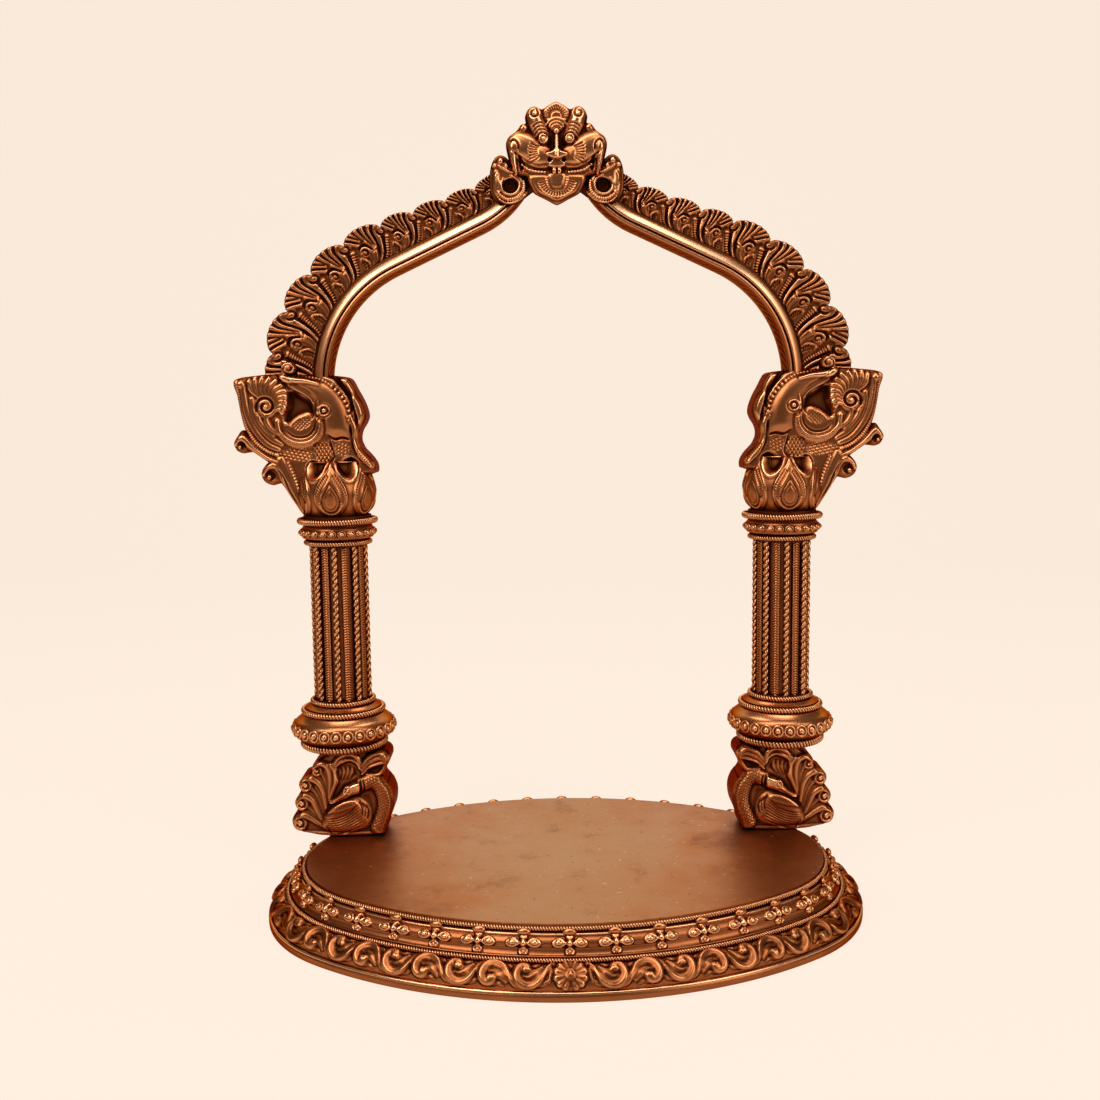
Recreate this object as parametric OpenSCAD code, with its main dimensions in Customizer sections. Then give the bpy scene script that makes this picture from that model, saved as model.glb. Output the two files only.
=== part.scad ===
// Brass prabhavali: a shrine frame of two columns and an ogee arch, standing on an oval pedestal.
// Millimetres. The front faces -Y, the table is z = 0 and the origin is under the pedestal's middle.
// The frame lifts off: two pegs under its bird feet drop into sockets under the pedestal's plate.

/* [Pedestal] */
// Length of the pedestal's top oval, end to end
oval_l = 266; // [256:1:290]
// Depth of the pedestal's top oval, front to back
oval_d = 176; // [170:1:184]
// Height of the pedestal up to the upper face of its plate
pedestal_h = 27; // [26:0.5:31]
// Thickness of the top plate
plate_t = 3; // [2:0.5:3.5]
// How far the plinth stands out from the top oval
foot_flare = 18.5; // [18:0.5:21]
// Height of the plain plinth edge
plinth_h = 3.6; // [3:0.2:4]
// Radius of the swelling that carries the vine
torus_r = 8.4; // [8:0.2:9]
// Radius of the hollow that carries the flowers
hollow_r = 7.6; // [7:0.2:8]
// Wall of the cast pedestal
shell_t = 3.4; // [3:0.2:4]
// Diameter of the twisted wire round the plate
rope_d = 2.4; // [1.8:0.1:2.4]
// Number of flowers round the pedestal
flower_n = 36; // [30:2:40]
// Number of scrolls in each half of the vine
scroll_n = 24; // [20:2:26]
// Diameter of the front and rear rosettes
rosette_d = 13; // [11:0.5:14]

/* [Frame] */
// Distance of each column's axis in from the end of the oval
column_inset = 15; // [14:0.5:18]
// How far the frame stands behind the pedestal's middle
frame_y = 38; // [34:0.5:39]
// Diameter of the pegs under the feet
peg_d = 8; // [6:0.5:9]
// Distance of each peg in from its column's axis
peg_in = 16; // [15:0.5:18]
// Length of each peg below the foot
peg_l = 15; // [12:0.5:16]
// Diameter of the tie rod through each column
rod_d = 8; // [6:0.5:9]
// Thickness of the bird feet
bird_t = 22; // [20:1:24]
// Height of the bird feet
bird_h = 47; // [46:0.5:50]

/* [Column] */
// Radius of the bell disc at its row of bosses
disc_r = 27; // [26:0.5:30]
// Number of bosses round each disc
boss_n = 27; // [23:1:28]
// Radius of the shaft's core
core_r = 11.6; // [11:0.2:12.4]
// Length of the shaft
shaft_h = 81.6; // [76:0.2:90]
// Number of twisted cables round each shaft
cable_n = 8; // [6:1:8]
// Diameter of the twisted cables
cable_d = 4; // [3.4:0.2:4.2]
// Radius of the capital at its row of beads
collar_r = 18.8; // [18.4:0.2:20]
// Number of beads round each capital
bead_n = 24; // [20:1:26]
// Height of the lotus
lotus_h = 25; // [24:0.5:28]
// Greatest radius of the lotus
lotus_r = 20.6; // [20:0.2:21.4]

/* [Arch] */
// Height of the makara heads
makara_h = 43.5; // [43:0.5:46]
// Thickness of the makara heads
makara_t = 19; // [17:0.5:21]
// Inside radius of the arch's shoulders
shoulder_r = 62; // [58:1:66]
// Angle that each shoulder turns through
shoulder_turn = 65; // [63:0.5:66]
// Inside radius of the reversed curve up to the crest
crown_r = 54; // [50:1:58]
// Angle that the reversed curve turns through
crown_turn = 30; // [28:1:32]
// Width of the arch's band
band_w = 8; // [7:0.5:9]
// Depth of the arch's band
band_t = 21; // [19:0.5:23]
// Width of the leaf fringe at its foot
fringe_foot_w = 29; // [26:0.5:30]
// Width of the leaf fringe beside the crest
fringe_top_w = 12; // [11.5:0.5:13]
// Thickness of the leaf fringe
fringe_t = 9; // [7:0.5:10]
// Number of leaf lobes on each side
lobe_n = 8; // [7:1:8]
// Diameter of the dowels in the arch's feet and crest
dowel_d = 4; // [3:0.5:4.5]
// Height of the lion mask
mask_h = 51; // [48:0.5:54]
// Thickness of the lion mask's plate
mask_t = 5; // [4:0.5:6]

/* [Hidden] */

$fn = 48;
// Solder gap between applied ornament and what carries it
solder = 0.1;
// Clearance round rods, pegs and dowels
slip = 0.15;
// Gap under the bird feet, which only rest on the plate
seat = 0.15;
// Gap between the plate's edge and the twisted wire round it
plate_gap = 0.2;
// Small overlap that lets a cut run past a face
over = 1;
// Hairline overlap of the oval's sectors, so that they always join
lap = 0.00001;

// Four-centre oval of the pedestal, struck with a 3-4-5 triangle: mouldings are offset out from it
half_l = oval_l / 2;
half_d = oval_d / 2;
oval_unit = (half_l - half_d) / 2;
end_x = 3 * oval_unit;
side_y = 4 * oval_unit;
end_r = half_l - end_x;
side_r = half_d + side_y;
end_turn = atan2(4, 3);
side_turn = 90 - end_turn;
wedge_l = 500;

rope_r = rope_d / 2;
plate_seat_z = pedestal_h - plate_t;
torus_c = [foot_flare - torus_r - 2, plinth_h + 1];
torus_top = torus_c[1] + torus_r;
low_rope_c = [torus_c[0] + 0.2, torus_top + solder + rope_r];
low_wall_d = low_rope_c[0] - rope_r - solder;
hollow_top_d = 1.8;
hollow_c = [hollow_top_d + hollow_r, plate_seat_z - 0.8];
up_rope_c = [0.3, plate_seat_z + solder + rope_r];
plate_edge = up_rope_c[0] - rope_r - plate_gap;
rim_w = 4;
ridge_r = 0.8;
vine_layer = 1.5;
socket_r = peg_d / 2 + 3;

// Heights of the column's pieces, from the plate upwards
column_x = half_l - column_inset;
foot_z = pedestal_h + seat;
disc_z = foot_z + bird_h;
disc_h = 28;
shaft_z = disc_z + disc_h;
capital_z = shaft_z + shaft_h;
capital_h = 16.2;
lotus_z = capital_z + capital_h;
makara_z = lotus_z + lotus_h;
arch_z = makara_z + makara_h;
rod_bore = rod_d + 2 * slip;
peg_grip = 8;
rod_grip = 14;
rod_top = makara_z + rod_grip;
rod_foot = disc_z - 20;
neck_r = 13;

// Ogee of the arch, right half: shoulder arc, straight rise and reversed crown arc
arch_x = column_x + 1;
shoulder_c = [arch_x - shoulder_r, arch_z];
rise = 90 - shoulder_turn;
crown_end = rise + crown_turn;
crest_half = 16.5;
out_dir = [cos(shoulder_turn), sin(shoulder_turn)];
up_dir = [-sin(shoulder_turn), cos(shoulder_turn)];
rise_foot = shoulder_c + shoulder_r * out_dir;
rise_l = (rise_foot[0] - crest_half + crown_r * (sin(rise) - sin(crown_end))) / cos(rise);
rise_top = rise_foot + rise_l * up_dir;
crown_c = rise_top + crown_r * out_dir;
crest_out = [sin(crown_end), cos(crown_end)];
crest_up = [-cos(crown_end), sin(crown_end)];
crest_in_pt = crown_c - crown_r * crest_out;
crest_mid_pt = crest_in_pt + band_w / 2 * crest_out;
band_front = band_t / 2;
fringe_front = band_front - 3;
fringe_gap = band_w + solder;

// Lengths along the band's outer edge, where the lobes are spaced
edge_r = shoulder_r + band_w;
edge_a = edge_r * shoulder_turn * PI / 180;
edge_b = (crown_r - band_w) * crown_turn * PI / 180;
edge_l = edge_a + rise_l + edge_b;
leaf_l = 12;
lobe_pitch = (edge_l - leaf_l) / lobe_n;

// The lion mask hangs in front of the crest block
mask_rise = 42.3;
mask_top = crest_in_pt[1] + mask_rise;
mask_back = band_front + 2 * solder;
rivet_d = 4;
rivet_x = 6.5;
rivet_z = mask_top - mask_h * 0.48;
rivet_end = band_front - 9;
rivet_head = mask_back + mask_t - 2;

brass = "#b07440";
bright_brass = "#d39a5e";
dark_brass = "#7a4a26";

// A point of the ogee: s along the band's outer edge, t outwards from its inner edge
function ogee(s, t) =
    s < edge_a
    ? let (a = s / edge_r * 180 / PI) shoulder_c + (shoulder_r + t) * [cos(a), sin(a)]
    : s < edge_a + rise_l
    ? rise_foot + (s - edge_a) * up_dir + t * out_dir
    : let (a = rise + (s - edge_a - rise_l) / (crown_r - band_w) * 180 / PI)
      crown_c - (crown_r - t) * [sin(a), cos(a)];

function fringe_w(s) = fringe_foot_w + (fringe_top_w - fringe_foot_w) * s / edge_l;

// A place on the oval, s along a line that is offset by d, counted from the front: [x, y, heading]
function oval_front(d) = (side_r + d) * side_turn * PI / 180;
function oval_end(d) = (end_r + d) * end_turn * 2 * PI / 180;
function oval_length(d) = 4 * oval_front(d) + 2 * oval_end(d);
function oval_arc(c, r, a) = [c[0] + r * cos(a), c[1] + r * sin(a), a];
function oval_right(s, d) =
    s < oval_front(d)
    ? oval_arc([0, side_y], side_r + d, -90 + s / (side_r + d) * 180 / PI)
    : s < oval_front(d) + oval_end(d)
    ? oval_arc([end_x, 0], end_r + d, -end_turn + (s - oval_front(d)) / (end_r + d) * 180 / PI)
    : oval_arc([0, -side_y], side_r + d,
               end_turn + (s - oval_front(d) - oval_end(d)) / (side_r + d) * 180 / PI);

// Points along an arc, with n steps
function arc(c, r, from, to, n) =
    [for (i = [0:n]) let (a = from + (to - from) * i / n) c + r * [cos(a), sin(a)]];

// A closed smooth outline through hand-set points, with n steps between two of them
function bend(a, b, c, d, t) =
    0.5 * (2 * b + (c - a) * t + (2 * a - 5 * b + 4 * c - d) * t * t
           + (3 * b - a - 3 * c + d) * t * t * t);
function outline(p, n = 4) =
    let (m = len(p))
    [for (i = [0:m - 1], j = [0:n - 1])
        bend(p[(i + m - 1) % m], p[i], p[(i + 1) % m], p[(i + 2) % m], j / n)];
function both_sides(p) =
    concat(p, [for (i = [len(p) - 1:-1:0]) if (abs(p[i][0]) > 0.01) [-p[i][0], p[i][1]]]);

// The four sectors of the oval: the two ends, then the front and the back
module end_wedge(side) {
    near = end_x - lap;
    far = [near + 0.6 * wedge_l, 0.8 * wedge_l];
    polygon([[side * near, 0], [side * far[0], -far[1]], [side * far[0], far[1]]]);
}

module side_wedge(side) {
    near = [0.375 * side_y, 0.5 * side_y];
    far = [0.6 * wedge_l, side_y - 0.8 * wedge_l];
    polygon([[near[0], side * near[1]], [far[0], side * far[1]],
             [-far[0], side * far[1]], [-near[0], side * near[1]]]);
}

// Sweeps a profile, drawn as [offset from the oval, height], round the oval
module oval_sweep() {
    for (side = [1, -1]) {
        intersection() {
            translate([side * end_x, 0]) rotate_extrude() translate([end_r, 0]) children();
            linear_extrude(3 * pedestal_h, center = true) end_wedge(side);
        }
        intersection() {
            translate([0, side * side_y]) rotate_extrude() translate([side_r, 0]) children();
            linear_extrude(3 * pedestal_h, center = true) side_wedge(side);
        }
    }
}

// Puts a shape, drawn upright in x and z, on the oval at s, facing outwards
module on_oval(s, d) {
    p = oval_right(s, d);
    translate([p[0], p[1]]) rotate(p[2] + 90) children();
}

// Stands a flat shape up in the frame's plane, from depth front back to depth rear
module upright(front, rear) {
    translate([0, frame_y - front]) rotate([-90, 0, 0]) mirror([0, 1, 0])
        linear_extrude(front - rear) children();
}

module right_column() {
    translate([column_x, frame_y]) children();
}

module left() {
    mirror([1, 0, 0]) children();
}

// A strip along the ogee between offsets t0 and t1, drawn as short chords
function ogee_run(t, n) = [for (i = [0:n]) ogee(edge_l * i / n, t)];
module ogee_band(t0, t1) {
    steps = 60;
    outer = ogee_run(t1, steps);
    polygon(concat(ogee_run(t0, steps), [for (i = [steps:-1:0]) outer[i]]));
}

// A ring of round wire about the z axis
module ring(r, wire_r) {
    rotate_extrude() translate([r, 0]) circle(wire_r);
}

// Outer profile of the lotus, as [radius, height]
function lotus_profile(grow) =
    outline_open([[16.6 + grow, 0], [lotus_r - 1.6 + grow, lotus_h * 0.2], [lotus_r + grow, lotus_h * 0.48],
                  [lotus_r - 1.2 + grow, lotus_h * 0.78], [lotus_r - 3.4 + grow, lotus_h]]);
function outline_open(p, n = 4) =
    let (m = len(p))
    concat([for (i = [0:m - 2], j = [0:n - 1])
        bend(p[max(i - 1, 0)], p[i], p[i + 1], p[min(i + 2, m - 1)], j / n)], [p[m - 1]]);

// Half of the lion mask's outline, from the top plume down, as [half width, share of the height]
mask_half = [[0, 1], [3.4, 0.965], [6.6, 0.925], [9.4, 0.945], [13, 0.935], [15.6, 0.87],
             [18.6, 0.80], [22, 0.75], [25, 0.66], [25.4, 0.54], [23.6, 0.42], [21.4, 0.3],
             [18.4, 0.27], [15, 0.21], [9, 0.11], [0, 0]];

module mask_outline(grow = 1) {
    translate([0, mask_top - mask_h / 2]) scale(grow) translate([0, -mask_h / 2])
        polygon(outline([for (p = both_sides(mask_half)) [p[0], p[1] * mask_h]], 3));
}

// The pedestal's section: rim, hollow, wall behind the rope, swelling, thin ridge and plinth
module pedestal_profile() {
    rim_d = plate_edge - rim_w;
    hollow_foot = 360 - acos((low_wall_d - hollow_c[0]) / hollow_r);
    ridge_c = [foot_flare - 1, plinth_h];
    polygon(concat(
        [[rim_d, plate_seat_z], [hollow_top_d, plate_seat_z]],
        arc(hollow_c, hollow_r, 180, hollow_foot, 8),
        [[low_wall_d, torus_top]],
        arc(torus_c, torus_r, 90, 0, 10),
        [[torus_c[0] + torus_r, plinth_h]],
        arc(ridge_c, ridge_r, 180, 0, 6),
        [[foot_flare, plinth_h], [foot_flare, 0], [foot_flare - shell_t, 0],
         [foot_flare - shell_t - 1.5, plinth_h], [torus_c[0] - 0.6, torus_top - shell_t],
         [low_wall_d - shell_t - 1, torus_top], [rim_d, hollow_c[1] - shell_t]]));
}

module pedestal_shell() {
    color(brass) oval_sweep() pedestal_profile();
}

module top_plate() {
    color(brass) translate([0, 0, plate_seat_z]) difference() {
        linear_extrude(plate_t) for (side = [1, -1]) {
            intersection() {
                translate([side * end_x, 0]) circle(end_r + plate_edge);
                end_wedge(side);
            }
            intersection() {
                translate([0, side * side_y]) circle(side_r + plate_edge);
                side_wedge(side);
            }
        }
        for (side = [-1, 1]) {
            translate([side * (column_x - peg_in), frame_y, -over])
                cylinder(d = peg_d + 4 * slip, h = plate_t + 2 * over);
        }
    }
}

module upper_rope() {
    color(bright_brass) oval_sweep() translate(up_rope_c) circle(rope_r);
}

module lower_rope() {
    color(bright_brass) oval_sweep() translate(low_rope_c) circle(rope_r);
}

// A bar bent round the local x axis: its outer radius, thickness, width, middle angle and turn
module bent_bar(r, t, w, middle, turn) {
    rotate([0, 90, 0]) rotate(middle - turn / 2) rotate_extrude(angle = turn)
        translate([r - t, -w / 2]) square([t, w]);
}

// A flower bent into the hollow: two crossed pairs of petals and a round heart
module flower() {
    tilt = 56;
    wall_r = hollow_r - solder;
    petal_t = 1.5;
    petal_w = 3.4;
    flower_w = 9.4;
    heart_r = 1.8;
    heart_h = 2.2;
    upper = 0.3;
    bent_bar(wall_r, petal_t, petal_w, tilt - 4, 62);
    bent_bar(wall_r - upper, petal_t, flower_w, tilt, 24);
    rotate([0, 90, 0]) rotate(tilt) translate([wall_r - 2 * upper - heart_h, 0]) rotate([0, 90, 0])
        cylinder(r1 = heart_r * 0.6, r2 = heart_r, h = heart_h);
}

module flower_bosses() {
    step = oval_length(hollow_c[0]) / flower_n;
    color(bright_brass) for (side = [0, 1], i = [0:flower_n / 2 - 1]) {
        rotate(180 * side) on_oval(i * step, hollow_c[0]) translate([0, 0, hollow_c[1]]) flower();
    }
}

// One scroll of the vine, flat in x and z: a hook with a round bud and a stem back to its neighbour
module scroll_shape(step) {
    r = torus_r * 0.46;
    stem = 1.5;
    bud_r = 1.3;
    seam = 0.3;
    difference() {
        circle(r);
        circle(r - stem);
        polygon([[0, 0], [2 * r, -r * 0.4], [2 * r, -2 * r], [-r * 0.4, -2 * r]]);
    }
    translate([r - stem * 0.7, -r * 0.3]) circle(bud_r);
    translate([seam - step / 2, r - stem]) square([step / 2, stem]);
}

// Cuts a flat shape, drawn in x and z, out of a layer lying on the swelling
module on_torus(layer) {
    reach = 2 * torus_r;
    intersection() {
        bent_bar(torus_r + solder + layer, layer, 2 * reach, 228, 76);
        translate([0, 0, torus_r * 0.5]) rotate([90, 0, 0]) linear_extrude(reach) children();
    }
}

module scroll_vine() {
    vine_d = torus_c[0];
    clear = rosette_d / 2 + over;
    step = (oval_length(vine_d) / 2 - 2 * clear) / scroll_n;
    color(bright_brass) for (side = [0, 1], i = [0:scroll_n - 1]) {
        mirror([side, 0, 0]) on_oval(clear + (i + 0.5) * step, vine_d) translate([0, 0, torus_c[1]])
            on_torus(vine_layer) mirror([0, i % 2, 0]) scroll_shape(step);
    }
}

module rosette() {
    on_oval(0, torus_c[0]) translate([0, 0, torus_c[1]]) on_torus(vine_layer + 0.4) circle(d = rosette_d);
}

module front_rosette() {
    color(bright_brass) rosette();
}

module rear_rosette() {
    color(bright_brass) rotate(180) rosette();
}

// A blind tube under the plate that takes a peg
module socket() {
    translate([column_x - peg_in, frame_y]) difference() {
        translate([0, 0, plate_seat_z - peg_l]) cylinder(r = socket_r, h = peg_l);
        translate([0, 0, plate_seat_z - peg_l + 2]) cylinder(d = peg_d + 4 * slip, h = peg_l);
    }
}

module left_socket() {
    color(dark_brass) left() socket();
}

module right_socket() {
    color(dark_brass) socket();
}

module peg() {
    translate([column_x - peg_in, frame_y, foot_z - peg_l]) cylinder(d = peg_d, h = peg_l + peg_grip);
}

module left_peg() {
    color(dark_brass) left() peg();
}

module right_peg() {
    color(dark_brass) peg();
}

// The bird's outline from flat pieces: x outwards from the column, y up from the plate, drawn at one height
bird_drawn_h = 47;
module bird_body() {
    polygon(outline([[-22, 9], [-19, 18], [-8, 24.6], [5, 22], [11, 13], [6, 4.6], [-6, 2.6],
                     [-17, 3.6]], 4));
}

module bird_base() {
    polygon([[-23, 0], [18, 0], [21, 2.4], [21, 6], [-25, 6], [-25, 2]]);
}

module bird_neck() {
    difference() {
        translate([-13, 20]) circle(15.5);
        translate([-10.5, 20.5]) circle(8.8);
        translate([-9, -3]) square([24, 40]);
    }
    polygon(outline([[-14, 30], [-10, 34], [-4, 32.6], [3.4, 23.6], [-5, 26]], 4));
}

module bird_plumes() {
    for (p = [[23, 9, 6], [21, 19.6, 5.8], [16, 30.2, 5.8]]) {
        translate([p[0], p[1]]) circle(p[2]);
    }
    polygon([[0, 7], [22, 7], [20, 20], [14, 31], [-2, 33]]);
}

module bird_leaves() {
    polygon(outline([[-27.5, 40], [-25.5, 45.6], [-19, 46.4], [-13, 43], [-4, 45.4], [4, 44], [9, 40],
                     [6, 35], [-6, 32.6], [-20, 33]], 4));
}

module foot_bird() {
    half_t = bird_t / 2;
    neck_h = 14;
    difference() {
        union() {
            translate([column_x, 0, foot_z]) scale([1, 1, bird_h / bird_drawn_h]) {
                upright(half_t - 2.4, 2.4 - half_t) bird_base();
                upright(half_t - 3, 3 - half_t) bird_plumes();
                upright(half_t, -half_t) bird_body();
                upright(half_t - 0.6, 0.6 - half_t) bird_leaves();
                upright(half_t - 1.6, 1.6 - half_t) bird_neck();
            }
            right_column() translate([0, 0, disc_z - neck_h]) cylinder(r = neck_r, h = neck_h);
        }
        right_column() translate([0, 0, rod_foot - slip]) cylinder(d = rod_bore, h = bird_h);
        translate([column_x - peg_in, frame_y, foot_z - over])
            cylinder(d = peg_d + 2 * slip, h = peg_grip + slip + over);
    }
}

module left_foot_bird() {
    color(brass) left() foot_bird();
}

module right_foot_bird() {
    color(brass) foot_bird();
}

module tie_rod() {
    right_column() translate([0, 0, rod_foot]) cylinder(d = rod_d, h = rod_top - rod_foot);
}

module left_tie_rod() {
    color(dark_brass) left() tie_rod();
}

module right_tie_rod() {
    color(dark_brass) tie_rod();
}

// Wire radii and seats of the three ropes on the bell disc: [wall radius, wire radius, seat height]
disc_rope = [[disc_r - 8, 2.2, 1], [disc_r - 7.5, 1.5, 19.7], [disc_r - 12.2, 1.3, 25]];

module bell_disc() {
    low = disc_rope[0];
    mid = disc_rope[1];
    top = disc_rope[2];
    lip_z = 15.6;
    lip_r = 2;
    right_column() translate([0, 0, disc_z]) rotate_extrude() difference() {
        union() {
            polygon([[rod_bore / 2, 0], [low[0], 0], [low[0], 6], [disc_r - 3, 6], [disc_r, 8],
                     [disc_r, lip_z], [mid[0] + 3.6, mid[2]], [mid[0], mid[2]], [mid[0], mid[2] + 3.3],
                     [top[0] + 3.2, top[2]], [top[0], top[2]], [top[0], disc_h], [rod_bore / 2, disc_h]]);
            translate([disc_r - lip_r, lip_z]) circle(lip_r);
        }
        translate([disc_r + 3, 23.6]) circle(4.6);
    }
}

module left_bell_disc() {
    color(brass) left() bell_disc();
}

module right_bell_disc() {
    color(brass) bell_disc();
}

module disc_ropes() {
    right_column() for (rope = disc_rope) {
        translate([0, 0, disc_z + rope[2] + solder + rope[1]]) ring(rope[0] + solder + rope[1], rope[1]);
    }
}

module left_disc_ropes() {
    color(bright_brass) left() disc_ropes();
}

module right_disc_ropes() {
    color(bright_brass) disc_ropes();
}

module disc_bosses() {
    boss_r = 2.8;
    boss_z = disc_z + 11.8;
    right_column() translate([0, 0, boss_z]) for (i = [0:boss_n - 1]) {
        rotate(-90 + i * 360 / boss_n) translate([disc_r + solder, 0]) rotate([0, 90, 0]) {
            cylinder(r = boss_r, h = 0.9);
            cylinder(r1 = boss_r * 0.7, r2 = boss_r * 0.35, h = 1.9);
        }
    }
}

module left_disc_bosses() {
    color(bright_brass) left() disc_bosses();
}

module right_disc_bosses() {
    color(bright_brass) disc_bosses();
}

module shaft() {
    right_column() translate([0, 0, shaft_z]) difference() {
        cylinder(r = core_r, h = shaft_h);
        translate([0, 0, -over]) cylinder(d = rod_bore, h = shaft_h + 2 * over);
    }
}

module left_shaft() {
    color(dark_brass) left() shaft();
}

module right_shaft() {
    color(dark_brass) shaft();
}

module shaft_cables() {
    right_column() translate([0, 0, shaft_z]) for (i = [0:cable_n - 1]) {
        rotate(-90 + i * 360 / cable_n) translate([core_r + solder + cable_d / 2, 0])
            cylinder(d = cable_d, h = shaft_h);
    }
}

module left_shaft_cables() {
    color(bright_brass) left() shaft_cables();
}

module right_shaft_cables() {
    color(bright_brass) shaft_cables();
}

module shaft_strips() {
    strip_r = core_r + solder;
    strip_t = 3.1;
    strip_turn = 17;
    right_column() translate([0, 0, shaft_z]) for (i = [0:cable_n - 1]) {
        rotate(-90 + (i + 0.5) * 360 / cable_n - strip_turn / 2) rotate_extrude(angle = strip_turn)
            translate([strip_r, 0]) square([strip_t, shaft_h]);
    }
}

module left_shaft_strips() {
    color(brass) left() shaft_strips();
}

module right_shaft_strips() {
    color(brass) shaft_strips();
}

// Wire radii and seats of the two ropes on the capital: [wall radius, wire radius, centre height]
capital_rope = [[collar_r - 3.4, 1.3, 2], [collar_r - 1, 1.7, 13.4]];
bead_z = 7.4;

module capital() {
    right_column() translate([0, 0, capital_z]) rotate_extrude() union() {
        translate([rod_bore / 2, 0]) square([capital_rope[0][0] - rod_bore / 2, capital_h]);
        translate([rod_bore / 2, bead_z - 3]) square([collar_r - rod_bore / 2, 6]);
        translate([rod_bore / 2, bead_z]) square([capital_rope[1][0] - rod_bore / 2, capital_h - bead_z]);
    }
}

module left_capital() {
    color(brass) left() capital();
}

module right_capital() {
    color(brass) capital();
}

module capital_ropes() {
    right_column() for (rope = capital_rope) {
        translate([0, 0, capital_z + rope[2]]) ring(rope[0] + solder + rope[1], rope[1]);
    }
}

module left_capital_ropes() {
    color(bright_brass) left() capital_ropes();
}

module right_capital_ropes() {
    color(bright_brass) capital_ropes();
}

module capital_beads() {
    bead_r = 2.3;
    right_column() translate([0, 0, capital_z + bead_z]) for (i = [0:bead_n - 1]) {
        rotate(-90 + i * 360 / bead_n) translate([collar_r + solder, 0]) rotate([0, 90, 0])
            rotate_extrude() intersection() {
                circle(bead_r);
                square(bead_r);
            }
    }
}

module left_capital_beads() {
    color(bright_brass) left() capital_beads();
}

module right_capital_beads() {
    color(bright_brass) capital_beads();
}

// A pointed petal, flat in x and z
module petal_shape() {
    polygon(outline([[0, lotus_h * 0.99], [4.6, lotus_h * 0.76], [8.6, lotus_h * 0.4], [6, lotus_h * 0.1],
                     [0, 0.4], [-6, lotus_h * 0.1], [-8.6, lotus_h * 0.4], [-4.6, lotus_h * 0.76]], 3));
}

module lotus() {
    petal_n = 6;
    right_column() translate([0, 0, lotus_z]) difference() {
        union() {
            rotate_extrude() polygon(concat([[0, 0]], lotus_profile(-1.6), [[0, lotus_h]]));
            intersection() {
                rotate_extrude() polygon(concat([[10, 0]], lotus_profile(0), [[10, lotus_h]]));
                for (i = [0:petal_n - 1]) {
                    rotate(i * 360 / petal_n) rotate([90, 0, 0]) linear_extrude(lotus_r + over) petal_shape();
                }
            }
        }
        translate([0, 0, -over]) cylinder(d = rod_bore, h = lotus_h + 2 * over);
    }
}

module left_lotus() {
    color(brass) left() lotus();
}

module right_lotus() {
    color(brass) lotus();
}

// The makara's outline: x outwards from the column, y up from its seat on the lotus
makara_edge = [[-5, 43.5], [-11.5, 41], [-15, 34], [-17.6, 26], [-14, 18], [-13.4, 13], [-19, 5], [-19, 0],
               [24, 0], [26, -9], [21, -21], [25, -16], [31, -6.5], [33.6, 0.6], [42, 8.6], [44.4, 19],
               [46.4, 30], [47.4, 43.5], [24, 43.5]];

module makara_outline() {
    polygon(makara_edge);
    translate([44.6, 12.4]) circle(4.6);
    translate([33.4, -3]) circle(4.6);
    translate([-11, 27]) circle(7.2);
}

// The curved trunk over the open jaw, as a tapering crescent with a curl at its end
module makara_trunk() {
    polygon(outline([[-10.6, 27], [-7.4, 36], [-1, 42.6], [8, 47], [17, 48.6], [21, 51.6], [22.5, 46.6],
                     [16, 43.6], [8, 39], [4, 33.6], [3, 26], [-4, 21]], 4));
    translate([19.8, 52]) circle(3);
}

module makara_jaw() {
    intersection() {
        difference() {
            translate([13.6, 28]) circle(14);
            translate([14.4, 29.4]) circle(10.4);
        }
        translate([-4, 8]) square([34, 21]);
    }
}

module makara_curl() {
    difference() {
        translate([33, 31]) circle(6.2);
        translate([33, 31]) circle(4);
    }
    translate([33, 31]) circle(2);
}

// Puts a feature on the front face and, mirrored, on the rear face of the frame
module both_faces() {
    for (rear = [0, 1]) {
        translate([0, frame_y]) mirror([0, rear, 0]) translate([0, -frame_y]) children();
    }
}

module makara() {
    face = makara_t / 2;
    difference() {
        translate([column_x, 0, makara_z]) {
            difference() {
                upright(face, -face) makara_outline();
                both_faces() upright(face + over, face - 4) {
                    translate([15, 30.6]) circle(8.4);
                    translate([-12.6, 3]) circle(3.6);
                    translate([8, 3]) circle(3);
                }
            }
            upright(face + 3, face - 2.4) makara_trunk();
            both_faces() {
                upright(face + 2.9, face - 2.5) intersection() {
                    makara_trunk();
                    translate([-30, 0]) square([80, makara_h]);
                }
                upright(face + 2, face - 4.4) makara_jaw();
                upright(face + 1.6, face - 1) makara_curl();
                upright(face + 4, face - 2) translate([2.4, 29]) circle(2.4);
            }
        }
        right_column() translate([0, 0, makara_z - over]) cylinder(d = rod_bore, h = rod_grip + slip + over);
        right_column() translate([0, 0, lotus_z - over])
            rotate_extrude()
                polygon(concat([[0, 0]], [for (p = lotus_profile(2 * solder)) [p[0], p[1] + over]],
                               [[0, lotus_h + over]]));
        dowel_at_foot(slip);
        makara_top_clear();
    }
}

// Room above the makara for the arch's foot and the fringe, which stand on its top
module makara_top_clear() {
    room = 120;
    translate([column_x - room / 3, frame_y - band_front - solder, arch_z]) cube([room, room / 2, room / 2]);
}

module left_makara() {
    color(brass) left() makara();
}

module right_makara() {
    color(brass) makara();
}

module dowel_at_foot(grow) {
    dowel_l = 8;
    translate([arch_x + band_w / 2, frame_y, arch_z - dowel_l - grow])
        cylinder(d = dowel_d + 2 * grow, h = 2 * (dowel_l + grow));
}

module left_arch_dowel() {
    color(dark_brass) left() dowel_at_foot(0);
}

module right_arch_dowel() {
    color(dark_brass) dowel_at_foot(0);
}

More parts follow.
